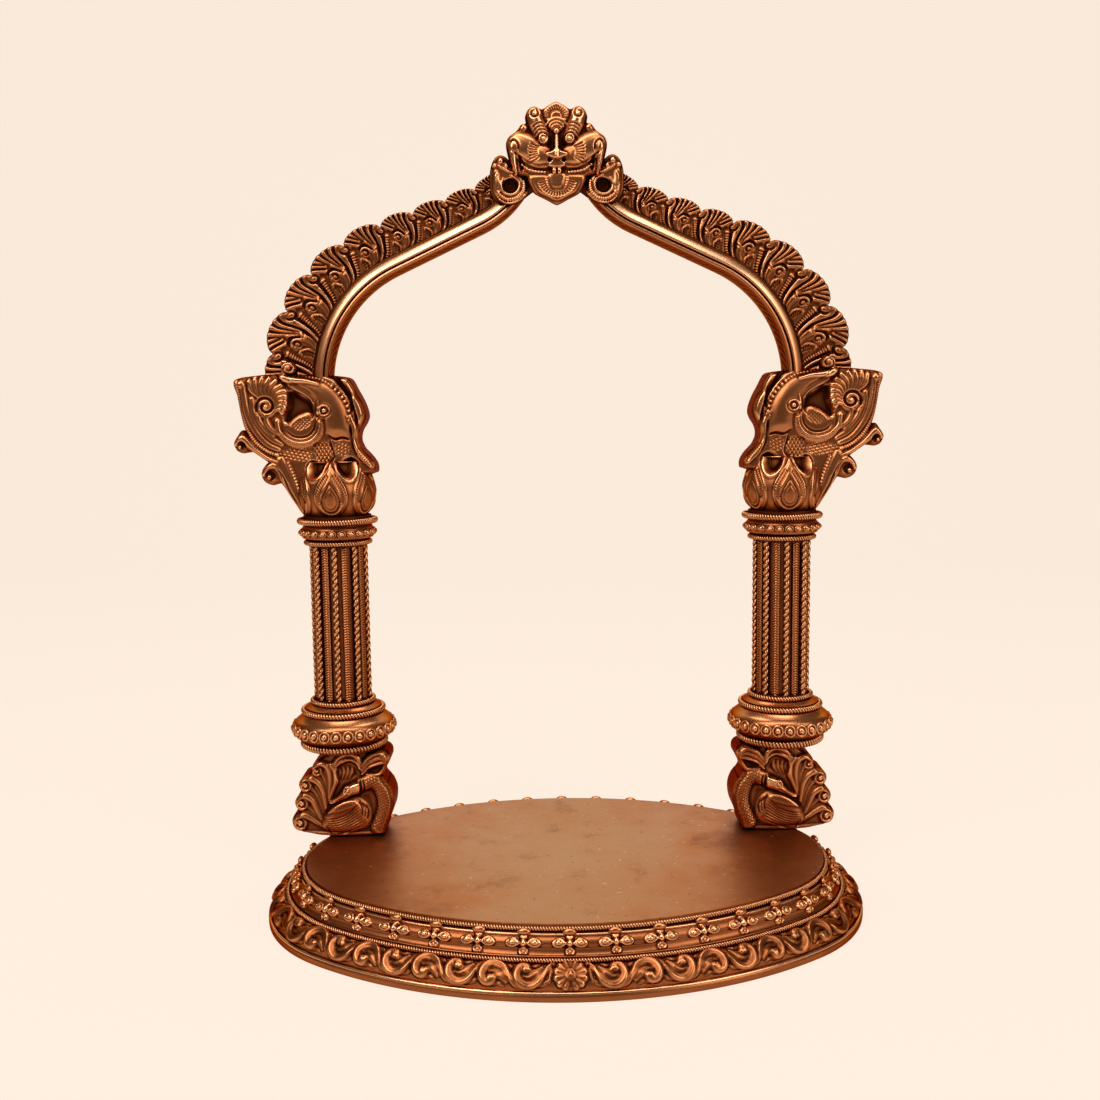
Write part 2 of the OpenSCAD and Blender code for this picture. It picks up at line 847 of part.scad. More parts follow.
module dowel_at_crest(grow) {
    dowel_l = 6;
    translate([crest_mid_pt[0], frame_y, crest_mid_pt[1]]) rotate([0, crown_end - 90, 0])
        translate([0, 0, -dowel_l - grow]) cylinder(d = dowel_d + 2 * grow, h = 2 * (dowel_l + grow));
}

module left_crest_dowel() {
    color(dark_brass) left() dowel_at_crest(0);
}

module right_crest_dowel() {
    color(dark_brass) dowel_at_crest(0);
}

// The band with its raised rib and the fillet along its inner edge
module arch() {
    rib = [band_w * 0.32, band_w * 0.94];
    rib_edge = 0.8;
    difference() {
        union() {
            upright(band_front - 2.4, -band_front) ogee_band(0, band_w);
            upright(band_front - 1, 0) ogee_band(rib[0], rib[1]);
            upright(band_front, 1) ogee_band(rib[0] + rib_edge, rib[1] - rib_edge);
            upright(band_front - 1.2, 2) ogee_band(0.2, band_w * 0.24);
        }
        dowel_at_foot(slip);
        dowel_at_crest(slip);
    }
}

module left_arch() {
    color(brass) left() arch();
}

module right_arch() {
    color(brass) arch();
}

// Width of the fringe at s: a small leaf at the foot, then one rounded lobe for each leaf
function lobe_w(s) =
    s < leaf_l
    ? fringe_w(s) * (0.62 + 0.24 * pow(sin(180 * s / leaf_l), 0.6))
    : let (a = (s - leaf_l) / lobe_pitch)
      fringe_w(s) * (0.78 + 0.22 * pow(abs(sin(180 * a)), 0.6));

module fringe_outline() {
    leaf_steps = 5;
    lobe_steps = 8;
    rim = concat([for (i = [0:leaf_steps - 1]) leaf_l * i / leaf_steps],
                 [for (i = [0:lobe_n * lobe_steps]) min(leaf_l + lobe_pitch * i / lobe_steps, edge_l)]);
    root_steps = 60;
    root = ogee_run(fringe_gap, root_steps);
    polygon(concat([for (s = rim) ogee(s, band_w + lobe_w(s))],
                   [for (i = [root_steps:-1:0]) root[i]]));
}

module fringe() {
    upright(fringe_front, fringe_front - fringe_t) fringe_outline();
}

module left_fringe() {
    color(brass) left() fringe();
}

module right_fringe() {
    color(brass) fringe();
}

// The block that joins the arch's two ends behind the mask
module crest_block() {
    a = crest_in_pt + solder / 2 * crest_up;
    b = a + band_w * crest_out;
    top = mask_top - 8;
    color(dark_brass) difference() {
        upright(band_front, -band_front)
            polygon(both_sides([[0, a[1] + 12], a, b, b + [-7, 16], [5, top]]));
        dowel_at_crest(slip);
        left() dowel_at_crest(slip);
        rivet_holes(rivet_end, band_front + over);
    }
}

module rivet_holes(rear, front) {
    for (side = [-1, 1]) {
        upright(front, rear) translate([side * rivet_x, rivet_z]) circle(d = rivet_d + 2 * slip);
    }
}

// A leaf scroll with a drilled eye, lying over the arch beside the mask
module crest_scroll() {
    hub = ogee(edge_l - 10, band_w + 3);
    leaf_t = 3.4;
    upright(mask_back + leaf_t, mask_back) difference() {
        union() {
            translate(hub) circle(9);
            translate(hub + [5, -2]) circle(8);
            translate(hub + [4, 6]) circle(6);
        }
        translate(hub + [-3, -3.4]) circle(3.7);
        mask_outline(1.04);
    }
}

module left_crest_scroll() {
    color(brass) left() crest_scroll();
}

module right_crest_scroll() {
    color(brass) crest_scroll();
}

// The mask's raised features, right half: x from the middle, y from the mask's foot
module mask_cheek() {
    polygon(outline([[0, 0.5], [6, 0.5], [8, 0.6], [16, 0.68], [22, 0.72], [24.6, 0.62], [23, 0.46],
                     [19, 0.38], [10, 0.33], [0, 0.34]] * [[1, 0], [0, mask_h]], 3));
}

module lion_mask() {
    face = mask_back + mask_t;
    root = face - over;
    color(bright_brass) difference() {
        union() {
            upright(face, mask_back) mask_outline();
            for (side = [0, 1]) {
                mirror([side, 0, 0]) translate([0, 0, mask_top - mask_h]) {
                    upright(face + 3, root) mask_cheek();
                    upright(face + 5, root) translate([6.4, mask_h * 0.67]) circle(3.4);
                    upright(face + 4, root) hull() {
                        translate([6.8, mask_h * 0.71]) circle(3.2);
                        translate([11.4, mask_h * 0.87]) circle(3.6);
                    }
                }
            }
            translate([0, 0, mask_top - mask_h]) {
                upright(face + 6, root) polygon([[-1.4, mask_h * 0.62], [1.4, mask_h * 0.62],
                                                 [6, mask_h * 0.43], [-6, mask_h * 0.43]]);
                upright(face + 3, root) polygon([[0, mask_h * 0.99], [6, mask_h * 0.92], [3, mask_h * 0.74],
                                                 [-3, mask_h * 0.74], [-6, mask_h * 0.92]]);
            }
        }
        rivet_holes(mask_back - over, rivet_head);
    }
}

module mask_rivets() {
    color(dark_brass) for (side = [-1, 1]) {
        upright(rivet_head - slip, rivet_end + slip) translate([side * rivet_x, rivet_z]) circle(d = rivet_d);
    }
}

pedestal_shell();
top_plate();
upper_rope();
lower_rope();
flower_bosses();
scroll_vine();
front_rosette();
rear_rosette();
left_socket();
right_socket();
left_peg();
right_peg();
left_foot_bird();
right_foot_bird();
left_tie_rod();
right_tie_rod();
left_bell_disc();
right_bell_disc();
left_disc_ropes();
right_disc_ropes();
left_disc_bosses();
right_disc_bosses();
left_shaft();
right_shaft();
left_shaft_cables();
right_shaft_cables();
left_shaft_strips();
right_shaft_strips();
left_capital();
right_capital();
left_capital_ropes();
right_capital_ropes();
left_capital_beads();
right_capital_beads();
left_lotus();
right_lotus();
left_makara();
right_makara();
left_arch_dowel();
right_arch_dowel();
left_arch();
right_arch();
left_fringe();
right_fringe();
crest_block();
left_crest_dowel();
right_crest_dowel();
left_crest_scroll();
right_crest_scroll();
lion_mask();
mask_rivets();
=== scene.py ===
"""Brass prabhavali: carved reliefs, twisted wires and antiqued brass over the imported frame."""

import math

import bpy
import numpy as np
from mathutils import Matrix, Vector


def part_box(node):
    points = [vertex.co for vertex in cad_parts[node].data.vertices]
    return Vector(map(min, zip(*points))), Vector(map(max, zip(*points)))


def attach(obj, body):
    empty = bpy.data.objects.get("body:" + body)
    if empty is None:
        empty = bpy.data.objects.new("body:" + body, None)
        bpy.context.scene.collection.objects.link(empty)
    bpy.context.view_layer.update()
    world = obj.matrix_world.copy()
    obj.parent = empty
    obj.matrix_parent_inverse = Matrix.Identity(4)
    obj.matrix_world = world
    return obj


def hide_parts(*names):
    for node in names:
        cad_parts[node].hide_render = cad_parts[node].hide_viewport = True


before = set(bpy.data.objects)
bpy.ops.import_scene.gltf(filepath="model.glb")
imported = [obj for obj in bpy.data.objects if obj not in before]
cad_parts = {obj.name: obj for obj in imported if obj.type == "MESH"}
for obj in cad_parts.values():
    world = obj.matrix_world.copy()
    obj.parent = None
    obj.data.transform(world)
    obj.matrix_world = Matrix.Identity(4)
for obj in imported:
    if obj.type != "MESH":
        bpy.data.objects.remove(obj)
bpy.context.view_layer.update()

# All shapes are drawn in millimetres and become metres when their mesh is made.
MM = 0.001


def span(node):
    """Lowest and highest corner of a CAD node, in mm."""
    low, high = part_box(node)
    return np.array(low) / MM, np.array(high) / MM


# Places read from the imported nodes

shaft_low, shaft_high = span("right_shaft")
COLUMN_X, FRAME_Y = (shaft_low[:2] + shaft_high[:2]) / 2
FOOT_Z = span("right_foot_bird")[0][2]
DISC_Z = span("right_bell_disc")[0][2]
SHAFT_Z, CAPITAL_Z = shaft_low[2], shaft_high[2]
LOTUS_Z, MAKARA_Z = (corner[2] for corner in span("right_lotus"))
ARCH_Z = span("right_arch")[0][2]
MASK_Z = span("lion_mask")[0][2]
MASK_BACK = FRAME_Y - span("lion_mask")[1][1]

# The pedestal's oval: four arcs, counted by their heading from the front towards the right

OVAL_END_X, OVAL_SIDE_Y = 67.5, 90.0
OVAL_TURN = math.atan2(4, 3)
OVAL_BREAKS = np.array([-math.pi / 2, -OVAL_TURN, OVAL_TURN, math.pi - OVAL_TURN, math.pi + OVAL_TURN,
                        1.5 * math.pi])
OVAL_RADII = np.array([178.0, 65.5, 178.0, 65.5, 178.0])
OVAL_CENTRES = np.array([[0, OVAL_SIDE_Y], [OVAL_END_X, 0], [0, -OVAL_SIDE_Y], [-OVAL_END_X, 0],
                         [0, OVAL_SIDE_Y]])
# Offset from the oval at which spacing round it is measured
SPACING_D = 8.0


def oval_marks(d):
    """Length along the oval, offset by d, at which each arc starts, and its whole length."""
    return np.concatenate([[0], np.cumsum((OVAL_RADII + d) * np.diff(OVAL_BREAKS))])


def oval_headings(count):
    """Evenly spaced headings round the oval, starting at the front."""
    marks = oval_marks(SPACING_D)
    return np.interp(np.arange(count) / count * marks[-1], marks, OVAL_BREAKS)


def oval_place(heading, d):
    """Points at the offsets d from the oval, one row for each heading."""
    arc = np.clip(np.searchsorted(OVAL_BREAKS, heading, side="right") - 1, 0, 4)
    reach = OVAL_RADII[arc][:, None] + np.atleast_2d(d)
    x = OVAL_CENTRES[arc, 0][:, None] + reach * np.cos(heading)[:, None]
    y = OVAL_CENTRES[arc, 1][:, None] + reach * np.sin(heading)[:, None]
    return x, y


# The arch's ogee: s runs along the band's outer edge from the foot, t outwards from its inner edge

BAND_W = 8.0
SHOULDER_R, CROWN_R = 62.0, 54.0
SHOULDER_TURN, CROWN_TURN = math.radians(65), math.radians(30)
RISE = math.pi / 2 - SHOULDER_TURN
OUT_DIR = np.array([math.cos(SHOULDER_TURN), math.sin(SHOULDER_TURN)])
UP_DIR = np.array([-math.sin(SHOULDER_TURN), math.cos(SHOULDER_TURN)])
FOOT_OUT = 1.0
SHOULDER_C = np.array([COLUMN_X + FOOT_OUT - SHOULDER_R, ARCH_Z])
RISE_FOOT = SHOULDER_C + SHOULDER_R * OUT_DIR
CREST_HALF = 16.5
CROWN_SPAN = CROWN_R * (math.sin(RISE + CROWN_TURN) - math.sin(RISE))
RISE_L = (RISE_FOOT[0] - CREST_HALF - CROWN_SPAN) / math.cos(RISE)
CROWN_C = RISE_FOOT + RISE_L * UP_DIR + CROWN_R * OUT_DIR
EDGE_A = (SHOULDER_R + BAND_W) * SHOULDER_TURN
EDGE_L = EDGE_A + RISE_L + (CROWN_R - BAND_W) * CROWN_TURN
FRINGE_FOOT_W, FRINGE_TOP_W = 29.0, 12.0
LEAF_L, LOBE_N = 12.0, 8
LOBE_PITCH = (EDGE_L - LEAF_L) / LOBE_N


def ogee(s, t):
    """x and z of points on the right half of the arch."""
    s, t = np.broadcast_arrays(np.asarray(s, float), np.asarray(t, float))
    a = s / (SHOULDER_R + BAND_W)
    b = RISE + (s - EDGE_A - RISE_L) / (CROWN_R - BAND_W)
    reach = SHOULDER_R + t
    shoulder = np.stack([SHOULDER_C[0] + reach * np.cos(a), SHOULDER_C[1] + reach * np.sin(a)])
    rise = np.stack([RISE_FOOT[i] + (s - EDGE_A) * UP_DIR[i] + t * OUT_DIR[i] for i in (0, 1)])
    crown = np.stack([CROWN_C[0] - (CROWN_R - t) * np.sin(b), CROWN_C[1] - (CROWN_R - t) * np.cos(b)])
    return np.where(s < EDGE_A, shoulder, np.where(s < EDGE_A + RISE_L, rise, crown))


def fringe_w(s):
    """Width of the leaf fringe, which narrows towards the crest."""
    return FRINGE_FOOT_W + (FRINGE_TOP_W - FRINGE_FOOT_W) * np.asarray(s) / EDGE_L


# Drawing on a carved face


def curve(points, steps=8, closed=False):
    """A smooth line through given points."""
    p = np.asarray(points, float)
    if closed:
        around = np.vstack([p[-1:], p, p[:2]])
    else:
        around = np.vstack([2 * p[:1] - p[1:2], p, 2 * p[-1:] - p[-2:-1]])
    a, b, c, d = (around[i:len(around) - 3 + i][:, None, :] for i in range(4))
    t = (np.arange(steps) / steps)[None, :, None]
    square = (2 * a - 5 * b + 4 * c - d) * t ** 2
    cube = (3 * b - a - 3 * c + d) * t ** 3
    line = (0.5 * (2 * b + (c - a) * t + square + cube)).reshape(-1, p.shape[1])
    return np.vstack([line, line[:1] if closed else p[-1:]])


def line_through(points, smooth):
    """A line's points, smoothed unless they already lie close together."""
    return curve(points) if smooth else np.asarray(points, float)


def loop_through(points, smooth=True):
    """A closed line's points, without the first one again at the end."""
    return curve(points, 6, True)[:-1] if smooth else np.asarray(points, float)


def coil(centre, r, turns, start, tail):
    """A spiral that winds inwards from radius r; start is its outer end's angle in degrees."""
    share = np.linspace(0, 1, int(18 * abs(turns)) + 4)
    angle = math.radians(start) + 2 * math.pi * turns * share
    reach = r * (1 - (1 - tail) * share)
    return np.stack([centre[0] + reach * np.cos(angle), centre[1] + reach * np.sin(angle)], 1)


# Cuts are drawn this much wider and deeper than a chaser's, so that they show at the picture's size.
CUT_WIDE, CUT_DEEP = 1.3, 1.25


class Relief:
    """A carved face: a height in mm over each point of a flat grid, and the distance to its outline."""

    def __init__(self, low, high, cell):
        self.cell = cell
        self.u = np.arange(low[0], high[0] + cell, cell)
        self.v = np.arange(low[1], high[1] + cell, cell)
        self.grid_u, self.grid_v = np.meshgrid(self.u, self.v)
        self.form = np.zeros_like(self.grid_u)
        self.line = np.zeros_like(self.grid_u)
        self.dark_patina_and_shade = np.zeros_like(self.grid_u)
        self.edge = np.full_like(self.grid_u, 9.0)

    def near(self, line, reach):
        """Distance to a line, place along it and side of it, wherever it is nearer than reach."""
        far = np.full_like(self.grid_u, 1e6)
        place = np.zeros_like(far)
        side = np.ones_like(far)
        start = 0.0
        for p, q in zip(line[:-1], line[1:]):
            step = q - p
            length = math.hypot(*step)
            if length < 1e-9:
                continue
            low, high = np.minimum(p, q) - reach, np.maximum(p, q) + reach
            rows = slice(*np.searchsorted(self.v, [low[1], high[1]]))
            cols = slice(*np.searchsorted(self.u, [low[0], high[0]]))
            x, y = self.grid_u[rows, cols] - p[0], self.grid_v[rows, cols] - p[1]
            t = np.clip((x * step[0] + y * step[1]) / length ** 2, 0, 1)
            away = np.hypot(x - t * step[0], y - t * step[1])
            closer = away < far[rows, cols]
            far[rows, cols][closer] = away[closer]
            place[rows, cols][closer] = (start + t * length)[closer]
            side[rows, cols][closer] = np.where(step[0] * y - step[1] * x > 0, 1.0, -1.0)[closer]
            start += length
        return far, place, side, max(start, 1e-6)

    def inside(self, line):
        """Whether each point of the grid lies inside a closed line."""
        odd = np.zeros(self.grid_u.shape, bool)
        for (x0, y0), (x1, y1) in zip(line, np.roll(line, -1, 0)):
            if y0 != y1:
                crosses = (y0 > self.grid_v) != (y1 > self.grid_v)
                odd ^= crosses & (self.grid_u < (x1 - x0) * (self.grid_v - y0) / (y1 - y0) + x0)
        return odd

    def within(self, line, reach=6.0):
        """Signed distance to a closed line, negative inside."""
        far = np.minimum(self.near(np.vstack([line, line[:1]]), reach)[0], reach)
        return np.where(self.inside(line), -far, far)

    def outline(self, points, smooth=True):
        """Adds the inside of a closed line to the face."""
        self.edge = np.minimum(self.edge, self.within(loop_through(points, smooth)))

    def outline_disc(self, centre, r):
        """Adds a disc to the face."""
        self.edge = np.minimum(self.edge, np.hypot(self.grid_u - centre[0], self.grid_v - centre[1]) - r)

    def stroke(self, points, half, height, ends, base=0.0, smooth=True, swell=0.4, sharp=0.7):
        """A ridge along a line: rounded, and tapered from its swell towards both ends."""
        line = line_through(points, smooth)
        far, place, _, length = self.near(line, half)
        width = half * np.interp(place / length, [0, swell, 1], [ends[0], 1, ends[1]])
        bump = np.clip(1 - (far / np.maximum(width, 0.05)) ** 2, 0, 1)
        lift = np.where(bump > 0, base + height * bump ** sharp * (0.4 + 0.6 * width / half), -9)
        self.form = np.maximum(self.form, lift)

    def groove(self, points, half, depth, smooth=True):
        """A cut along a line, which fades out towards both ends."""
        half, depth = CUT_WIDE * half, CUT_DEEP * depth
        line = line_through(points, smooth)
        far, place, _, length = self.near(line, half)
        fade = np.interp(place / length, [0, 0.12, 0.88, 1], [0.3, 1, 1, 0.3])
        self.line -= depth * fade * np.clip(1 - (far / half) ** 2, 0, 1)

    def bead_row(self, points, pitch, r, height, base):
        """Round beads along a line."""
        line = curve(points)
        steps = np.hypot(*np.diff(line, axis=0).T)
        marks = np.concatenate([[0], np.cumsum(steps)])
        count = max(2, int(round(marks[-1] / pitch)))
        for at in np.linspace(0, marks[-1], count):
            centre = [np.interp(at, marks, line[:, i]) for i in (0, 1)]
            self.dome(centre, r, r, height, base=base)

    def ticks(self, points, half, pitch, depth, slant=0.0, smooth=True):
        """Cross cuts along a line, leaning by slant."""
        line = line_through(points, smooth)
        far, place, side, length = self.near(line, half)
        wave = 0.5 - 0.5 * np.cos(2 * math.pi * (place + slant * far * side) / pitch)
        on = np.clip((half - far) / (0.3 * half), 0, 1) * (far < half)
        ends = np.interp(place / length, [0, 0.04, 0.96, 1], [0, 1, 1, 0])
        self.line -= CUT_DEEP * depth * wave * on * ends

    def dome(self, centre, ra, rb, height, turn=0.0, base=0.0, sharp=0.5):
        """A round or oval swelling."""
        c, s = math.cos(math.radians(turn)), math.sin(math.radians(turn))
        x, y = self.grid_u - centre[0], self.grid_v - centre[1]
        far = ((x * c + y * s) / ra) ** 2 + ((y * c - x * s) / rb) ** 2
        lift = base + height * np.clip(1 - far, 0, 1) ** sharp
        self.form = np.where(far < 1, np.maximum(self.form, lift), self.form)

    def ring(self, centre, r, half, height, base):
        """A round ridge."""
        far = np.abs(np.hypot(self.grid_u - centre[0], self.grid_v - centre[1]) - r)
        lift = base + height * np.clip(1 - (far / half) ** 2, 0, 1) ** 0.7
        self.form = np.where(far < half, np.maximum(self.form, lift), self.form)

    def curl(self, centre, r, turns, start, half, height, base):
        """A rolled tip: a spiral ridge round a small button."""
        self.stroke(coil(centre, r, turns, start, 0.12), half, height, (1, 0.45), base, False, 0.1)
        self.dome(centre, 0.3 * r, 0.3 * r, height * 1.1, base=base)

    def plate(self, points, height, soft, base=0.0, sharp=0.6):
        """A swelling region that rises over soft mm from its edge."""
        line = loop_through(points)
        deep = -self.within(line, soft)
        if soft > 3:
            deep = np.where(deep > 0, blurred(np.maximum(deep, 0), 0.22 * soft / self.cell), deep)
        lift = base + height * np.sin(0.5 * math.pi * np.clip(deep / soft, 0, 1)) ** sharp
        self.form = np.where(deep > 0, np.maximum(self.form, lift), self.form)

    def hollow(self, points, floor, soft, dark_patina_and_shade=1.0):
        """A recess that sinks to its floor over soft mm from its edge and darkens, with dark oxide and
        painted shade together.
        """
        line = loop_through(points)
        sink = np.clip(-self.within(line, soft) / soft, 0, 1)
        self.form = np.where(sink > 0, np.minimum(self.form, self.form * (1 - sink) + floor * sink),
                             self.form)
        self.dark_patina_and_shade = np.maximum(self.dark_patina_and_shade, dark_patina_and_shade * sink)

    def polish_and_highlight(self, points, amount, soft=1.5):
        """Polishes a region back to bright metal, which also serves as a painted highlight."""
        line = loop_through(points)
        self.dark_patina_and_shade -= amount * np.clip(-self.within(line, soft) / soft, 0, 1)

    def ease(self, points, reach):
        """Blurs the form inside a region, so that its swellings flow into each other."""
        line = loop_through(points)
        on = np.clip(-self.within(line, reach) / reach, 0, 1)
        self.form = self.form * (1 - on) + blurred(self.form, reach / self.cell) * on

    def cross_hatch(self, points, pitch, depth, turn=45.0):
        """Crossing cuts that net the inside of a closed line."""
        line = loop_through(points)
        on = np.clip(-self.within(line, 1.0), 0, 1)
        for angle in (turn, -turn):
            c, s = math.cos(math.radians(angle)), math.sin(math.radians(angle))
            across = (self.grid_u * c + self.grid_v * s) / pitch
            self.line -= depth * on * np.clip(2 * np.abs(across % 1 - 0.5) - 0.45, 0, 1) / 0.55

    def scales(self, points, pitch, height, turn):
        """Rows of overlapping round scales inside a closed line."""
        line = loop_through(points)
        on = np.clip(-self.within(line, 1.0), 0, 1)
        c, s = math.cos(math.radians(turn)), math.sin(math.radians(turn))
        x, y = (self.grid_u * c + self.grid_v * s) / pitch, (self.grid_v * c - self.grid_u * s) / pitch
        row = np.floor(y * 1.5)
        cell = np.hypot((x + 0.5 * (row % 2)) % 1 - 0.5, (y * 1.5 - row) / 1.5)
        self.line += height * on * (np.clip(1 - cell / 0.6, 0, 1) ** 0.5 - 0.5)

    def height(self):
        """The carved height, rubbed soft by a little less than one cell."""
        return blurred(self.form + self.line, 0.85)

    def patina_and_shade(self):
        """How dark each point is coloured: dark oxide stays in hollows and along grooves, none on rubbed
        ridges, and the face's painted shade and highlights are added in.
        """
        height = self.height()
        fine = blurred(height, 0.8 / self.cell) - height
        broad = blurred(height, 2.6 / self.cell) - height
        return np.clip(0.4 + 0.9 * fine + 0.13 * broad + 0.35 * self.dark_patina_and_shade, 0, 1)


def blurred(field, sigma):
    """Gaussian blur with mirrored borders."""
    pad = int(3 * sigma) + 1
    wide = np.pad(field, pad, mode="reflect" if min(field.shape) > pad else "edge")
    fy, fx = np.fft.fftfreq(wide.shape[0]), np.fft.rfftfreq(wide.shape[1])
    keep = np.exp(-2 * (math.pi * sigma) ** 2 * (fy[:, None] ** 2 + fx[None, :] ** 2))
    return np.fft.irfft2(np.fft.rfft2(wide) * keep, wide.shape)[pad:-pad, pad:-pad]


def sampled(field, share):
    """Rows of a field at the given shares of its height, blended between its own rows."""
    place = np.asarray(share) * (len(field) - 1)
    low = np.minimum(place.astype(int), len(field) - 2)
    part = (place - low)[:, None]
    return field[low] * (1 - part) + field[low + 1] * part


# Meshes


def quads_between(rows, cols, closed_rows=False, closed_cols=False):
    """Quads of a grid of points, numbered row by row."""
    i = np.arange(rows if closed_rows else rows - 1)[:, None]
    j = np.arange(cols if closed_cols else cols - 1)[None, :]
    i2, j2 = (i + 1) % rows, (j + 1) % cols
    quads = np.stack(np.broadcast_arrays(i * cols + j, i * cols + j2, i2 * cols + j2, i2 * cols + j), -1)
    return quads.reshape(-1, 4)


class Form:
    """Points, quads and darkness of a piece, dark oxide and painted shade together, gathered before its mesh
    is made.
    """

    def __init__(self, points, quads, patina_and_shade):
        self.points = np.asarray(points, float).reshape(-1, 3)
        self.quads = np.asarray(quads, int).reshape(-1, 4)
        marks = np.asarray(patina_and_shade, float).ravel()
        self.patina_and_shade = marks if marks.size > 1 else np.full(len(self.points), marks[0])

    def joined(self, *others):
        """This form and others as one."""
        forms = (self,) + others
        starts = np.cumsum([0] + [len(f.points) for f in forms[:-1]])
        quads = np.vstack([f.quads + start for f, start in zip(forms, starts)])
        return Form(np.vstack([f.points for f in forms]), quads, np.concatenate([f.patina_and_shade for f in forms]))

    def outward(self):
        """Turns all faces round where the closed form is inside out."""
        p = self.points - self.points.mean(0)
        a, b, c, d = (p[self.quads[:, i]] for i in range(4))
        volume = np.einsum("ij,ij->", a, np.cross(b, c)) + np.einsum("ij,ij->", a, np.cross(c, d))
        return self if volume > 0 else Form(self.points, self.quads[:, ::-1], self.patina_and_shade)

    def mirrored(self):
        """The form on the other side of the frame."""
        return Form(self.points * [-1, 1, 1], self.quads[:, ::-1], self.patina_and_shade)

    def moved(self, by):
        """The form at another place."""
        return Form(self.points + by, self.quads, self.patina_and_shade)


def mesh_of(name, form):
    """A smooth-shaded mesh of a form, with its dark oxide and painted shade as the attribute that the brass
    reads.
    """
    mesh = bpy.data.meshes.new(name)
    mesh.vertices.add(len(form.points))
    mesh.vertices.foreach_set("co", (form.points * MM).astype(np.float32).ravel())
    mesh.loops.add(form.quads.size)
    mesh.loops.foreach_set("vertex_index", form.quads.astype(np.int32).ravel())
    mesh.polygons.add(len(form.quads))
    mesh.polygons.foreach_set("loop_start", np.arange(0, form.quads.size, 4, dtype=np.int32))
    mesh.update(calc_edges=True)
    mesh.validate()
    patina_and_shade = mesh.attributes.new("patina", "FLOAT", "POINT")
    patina_and_shade.data.foreach_set("value", form.patina_and_shade.astype(np.float32))
    mesh.shade_smooth()
    return mesh


def put(name, mesh, body, stands_for, material=None, crease=None):
    """Puts a finished mesh into the scene as a piece that rides on a body."""
    if material is not None:
        mesh.materials.clear()
        mesh.materials.append(material)
    if crease is not None:
        mesh.set_sharp_from_angle(angle=math.radians(crease))
    piece = bpy.data.objects.new(name, mesh)
    bpy.context.scene.collection.objects.link(piece)
    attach(piece, body)
    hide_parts(*stands_for)


def put_pair(name, form, body, stands_for, material, crease=None):
    """The same form on the right and, mirrored, on the left."""
    for side, shape in (("right", form), ("left", form.mirrored())):
        nodes = [f"{side}_{node}" for node in stands_for]
        put(f"{side}_{name}", mesh_of(f"{side}_{name}", shape), body, nodes, material, crease)


def cut_grid(relief):
    """The grid's points inside a relief's outline and their quads; points near it are moved onto it."""
    cell, edge = relief.cell, relief.edge
    keep = edge < 0.55 * cell
    corner = quads_between(*keep.shape)
    corner = corner[keep.ravel()[corner].all(1)]
    used = np.unique(corner)
    number = np.full(keep.size, -1)
    number[used] = np.arange(len(used))
    gv, gu = np.gradient(edge, cell)
    steep = np.maximum(np.hypot(gu, gv), 0.3)
    snap = np.where(edge > -0.45 * cell, np.clip(edge, -cell, cell), 0.0)
    u = (relief.grid_u - snap * gu / steep ** 2).ravel()[used]
    v = (relief.grid_v - snap * gv / steep ** 2).ravel()[used]
    return used, u, v, number[corner]


def open_edges(quads, count):
    """Edges that only one quad uses."""
    pairs = np.concatenate([quads[:, [i, (i + 1) % 4]] for i in range(4)]).astype(np.int64)
    seen = pairs[:, 0] * count + pairs[:, 1]
    return pairs[~np.isin(pairs[:, 1] * count + pairs[:, 0], seen)]


def carved_slab(relief, place, face, soft, back=None, drop=1.2, wall=0.95):
    """A slab with a relief in front and, unless back is given, behind too; place turns u, v to x, z."""
    used, u, v, quads = cut_grid(relief)
    count = len(used)
    # The face turns down towards its outline
    turn_in = np.clip(1 + relief.edge / soft, 0, 0.97)
    height = relief.height() - drop * (1 - np.sqrt(1 - turn_in ** 2))
    q = face + height.ravel()[used]
    x, z = place(u, v)
    front = np.stack([x, FRAME_Y - q, z], 1)
    rear = np.stack([x, FRAME_Y + (q if back is None else np.full_like(q, -back)), z], 1)
    # Walls between the two outlines, with a narrow step at each end that keeps the edge crisp
    lone = open_edges(quads, count)
    rim = np.unique(lone)
    step = np.full(count, -1)
    step[rim] = np.arange(len(rim))
    rings = [np.arange(count), 2 * count + step, 2 * count + len(rim) + step, np.arange(count) + count]
    inset = 0.08 * (rear[rim] - front[rim])
    walls = [np.stack([a[lone[:, 1]], a[lone[:, 0]], b[lone[:, 0]], b[lone[:, 1]]], 1)
             for a, b in zip(rings[:-1], rings[1:])]
    # Painted shade: the rounded edge darkens as it turns away, and the walls take the darkness given by wall
    patina_and_shade = np.clip(relief.patina_and_shade() + 0.4 * (wall - 0.35) * turn_in ** 3, 0, 1).ravel()[used]
    rear_patina_and_shade = patina_and_shade if back is None else np.full(count, 0.5)
    points = np.vstack([front, rear, front[rim] + inset, rear[rim] - inset])
    faces = np.vstack([quads, quads[:, ::-1] + count] + walls)
    return Form(points, faces, np.concatenate([patina_and_shade, rear_patina_and_shade, np.full(2 * len(rim), wall)]))


def lathe(profile, steps, patina_and_shade):
    """A closed profile of [radius, height] turned about the z axis."""
    profile = np.asarray(profile, float)
    r, z = profile.T
    angle = (np.arange(steps) / steps * 2 * math.pi - math.pi / 2)[:, None]
    points = np.stack(np.broadcast_arrays(r * np.cos(angle), r * np.sin(angle), z), -1)
    marks = np.broadcast_to(patina_and_shade, points.shape[:2])
    return Form(points, quads_between(steps, len(profile), True, True), marks).outward()


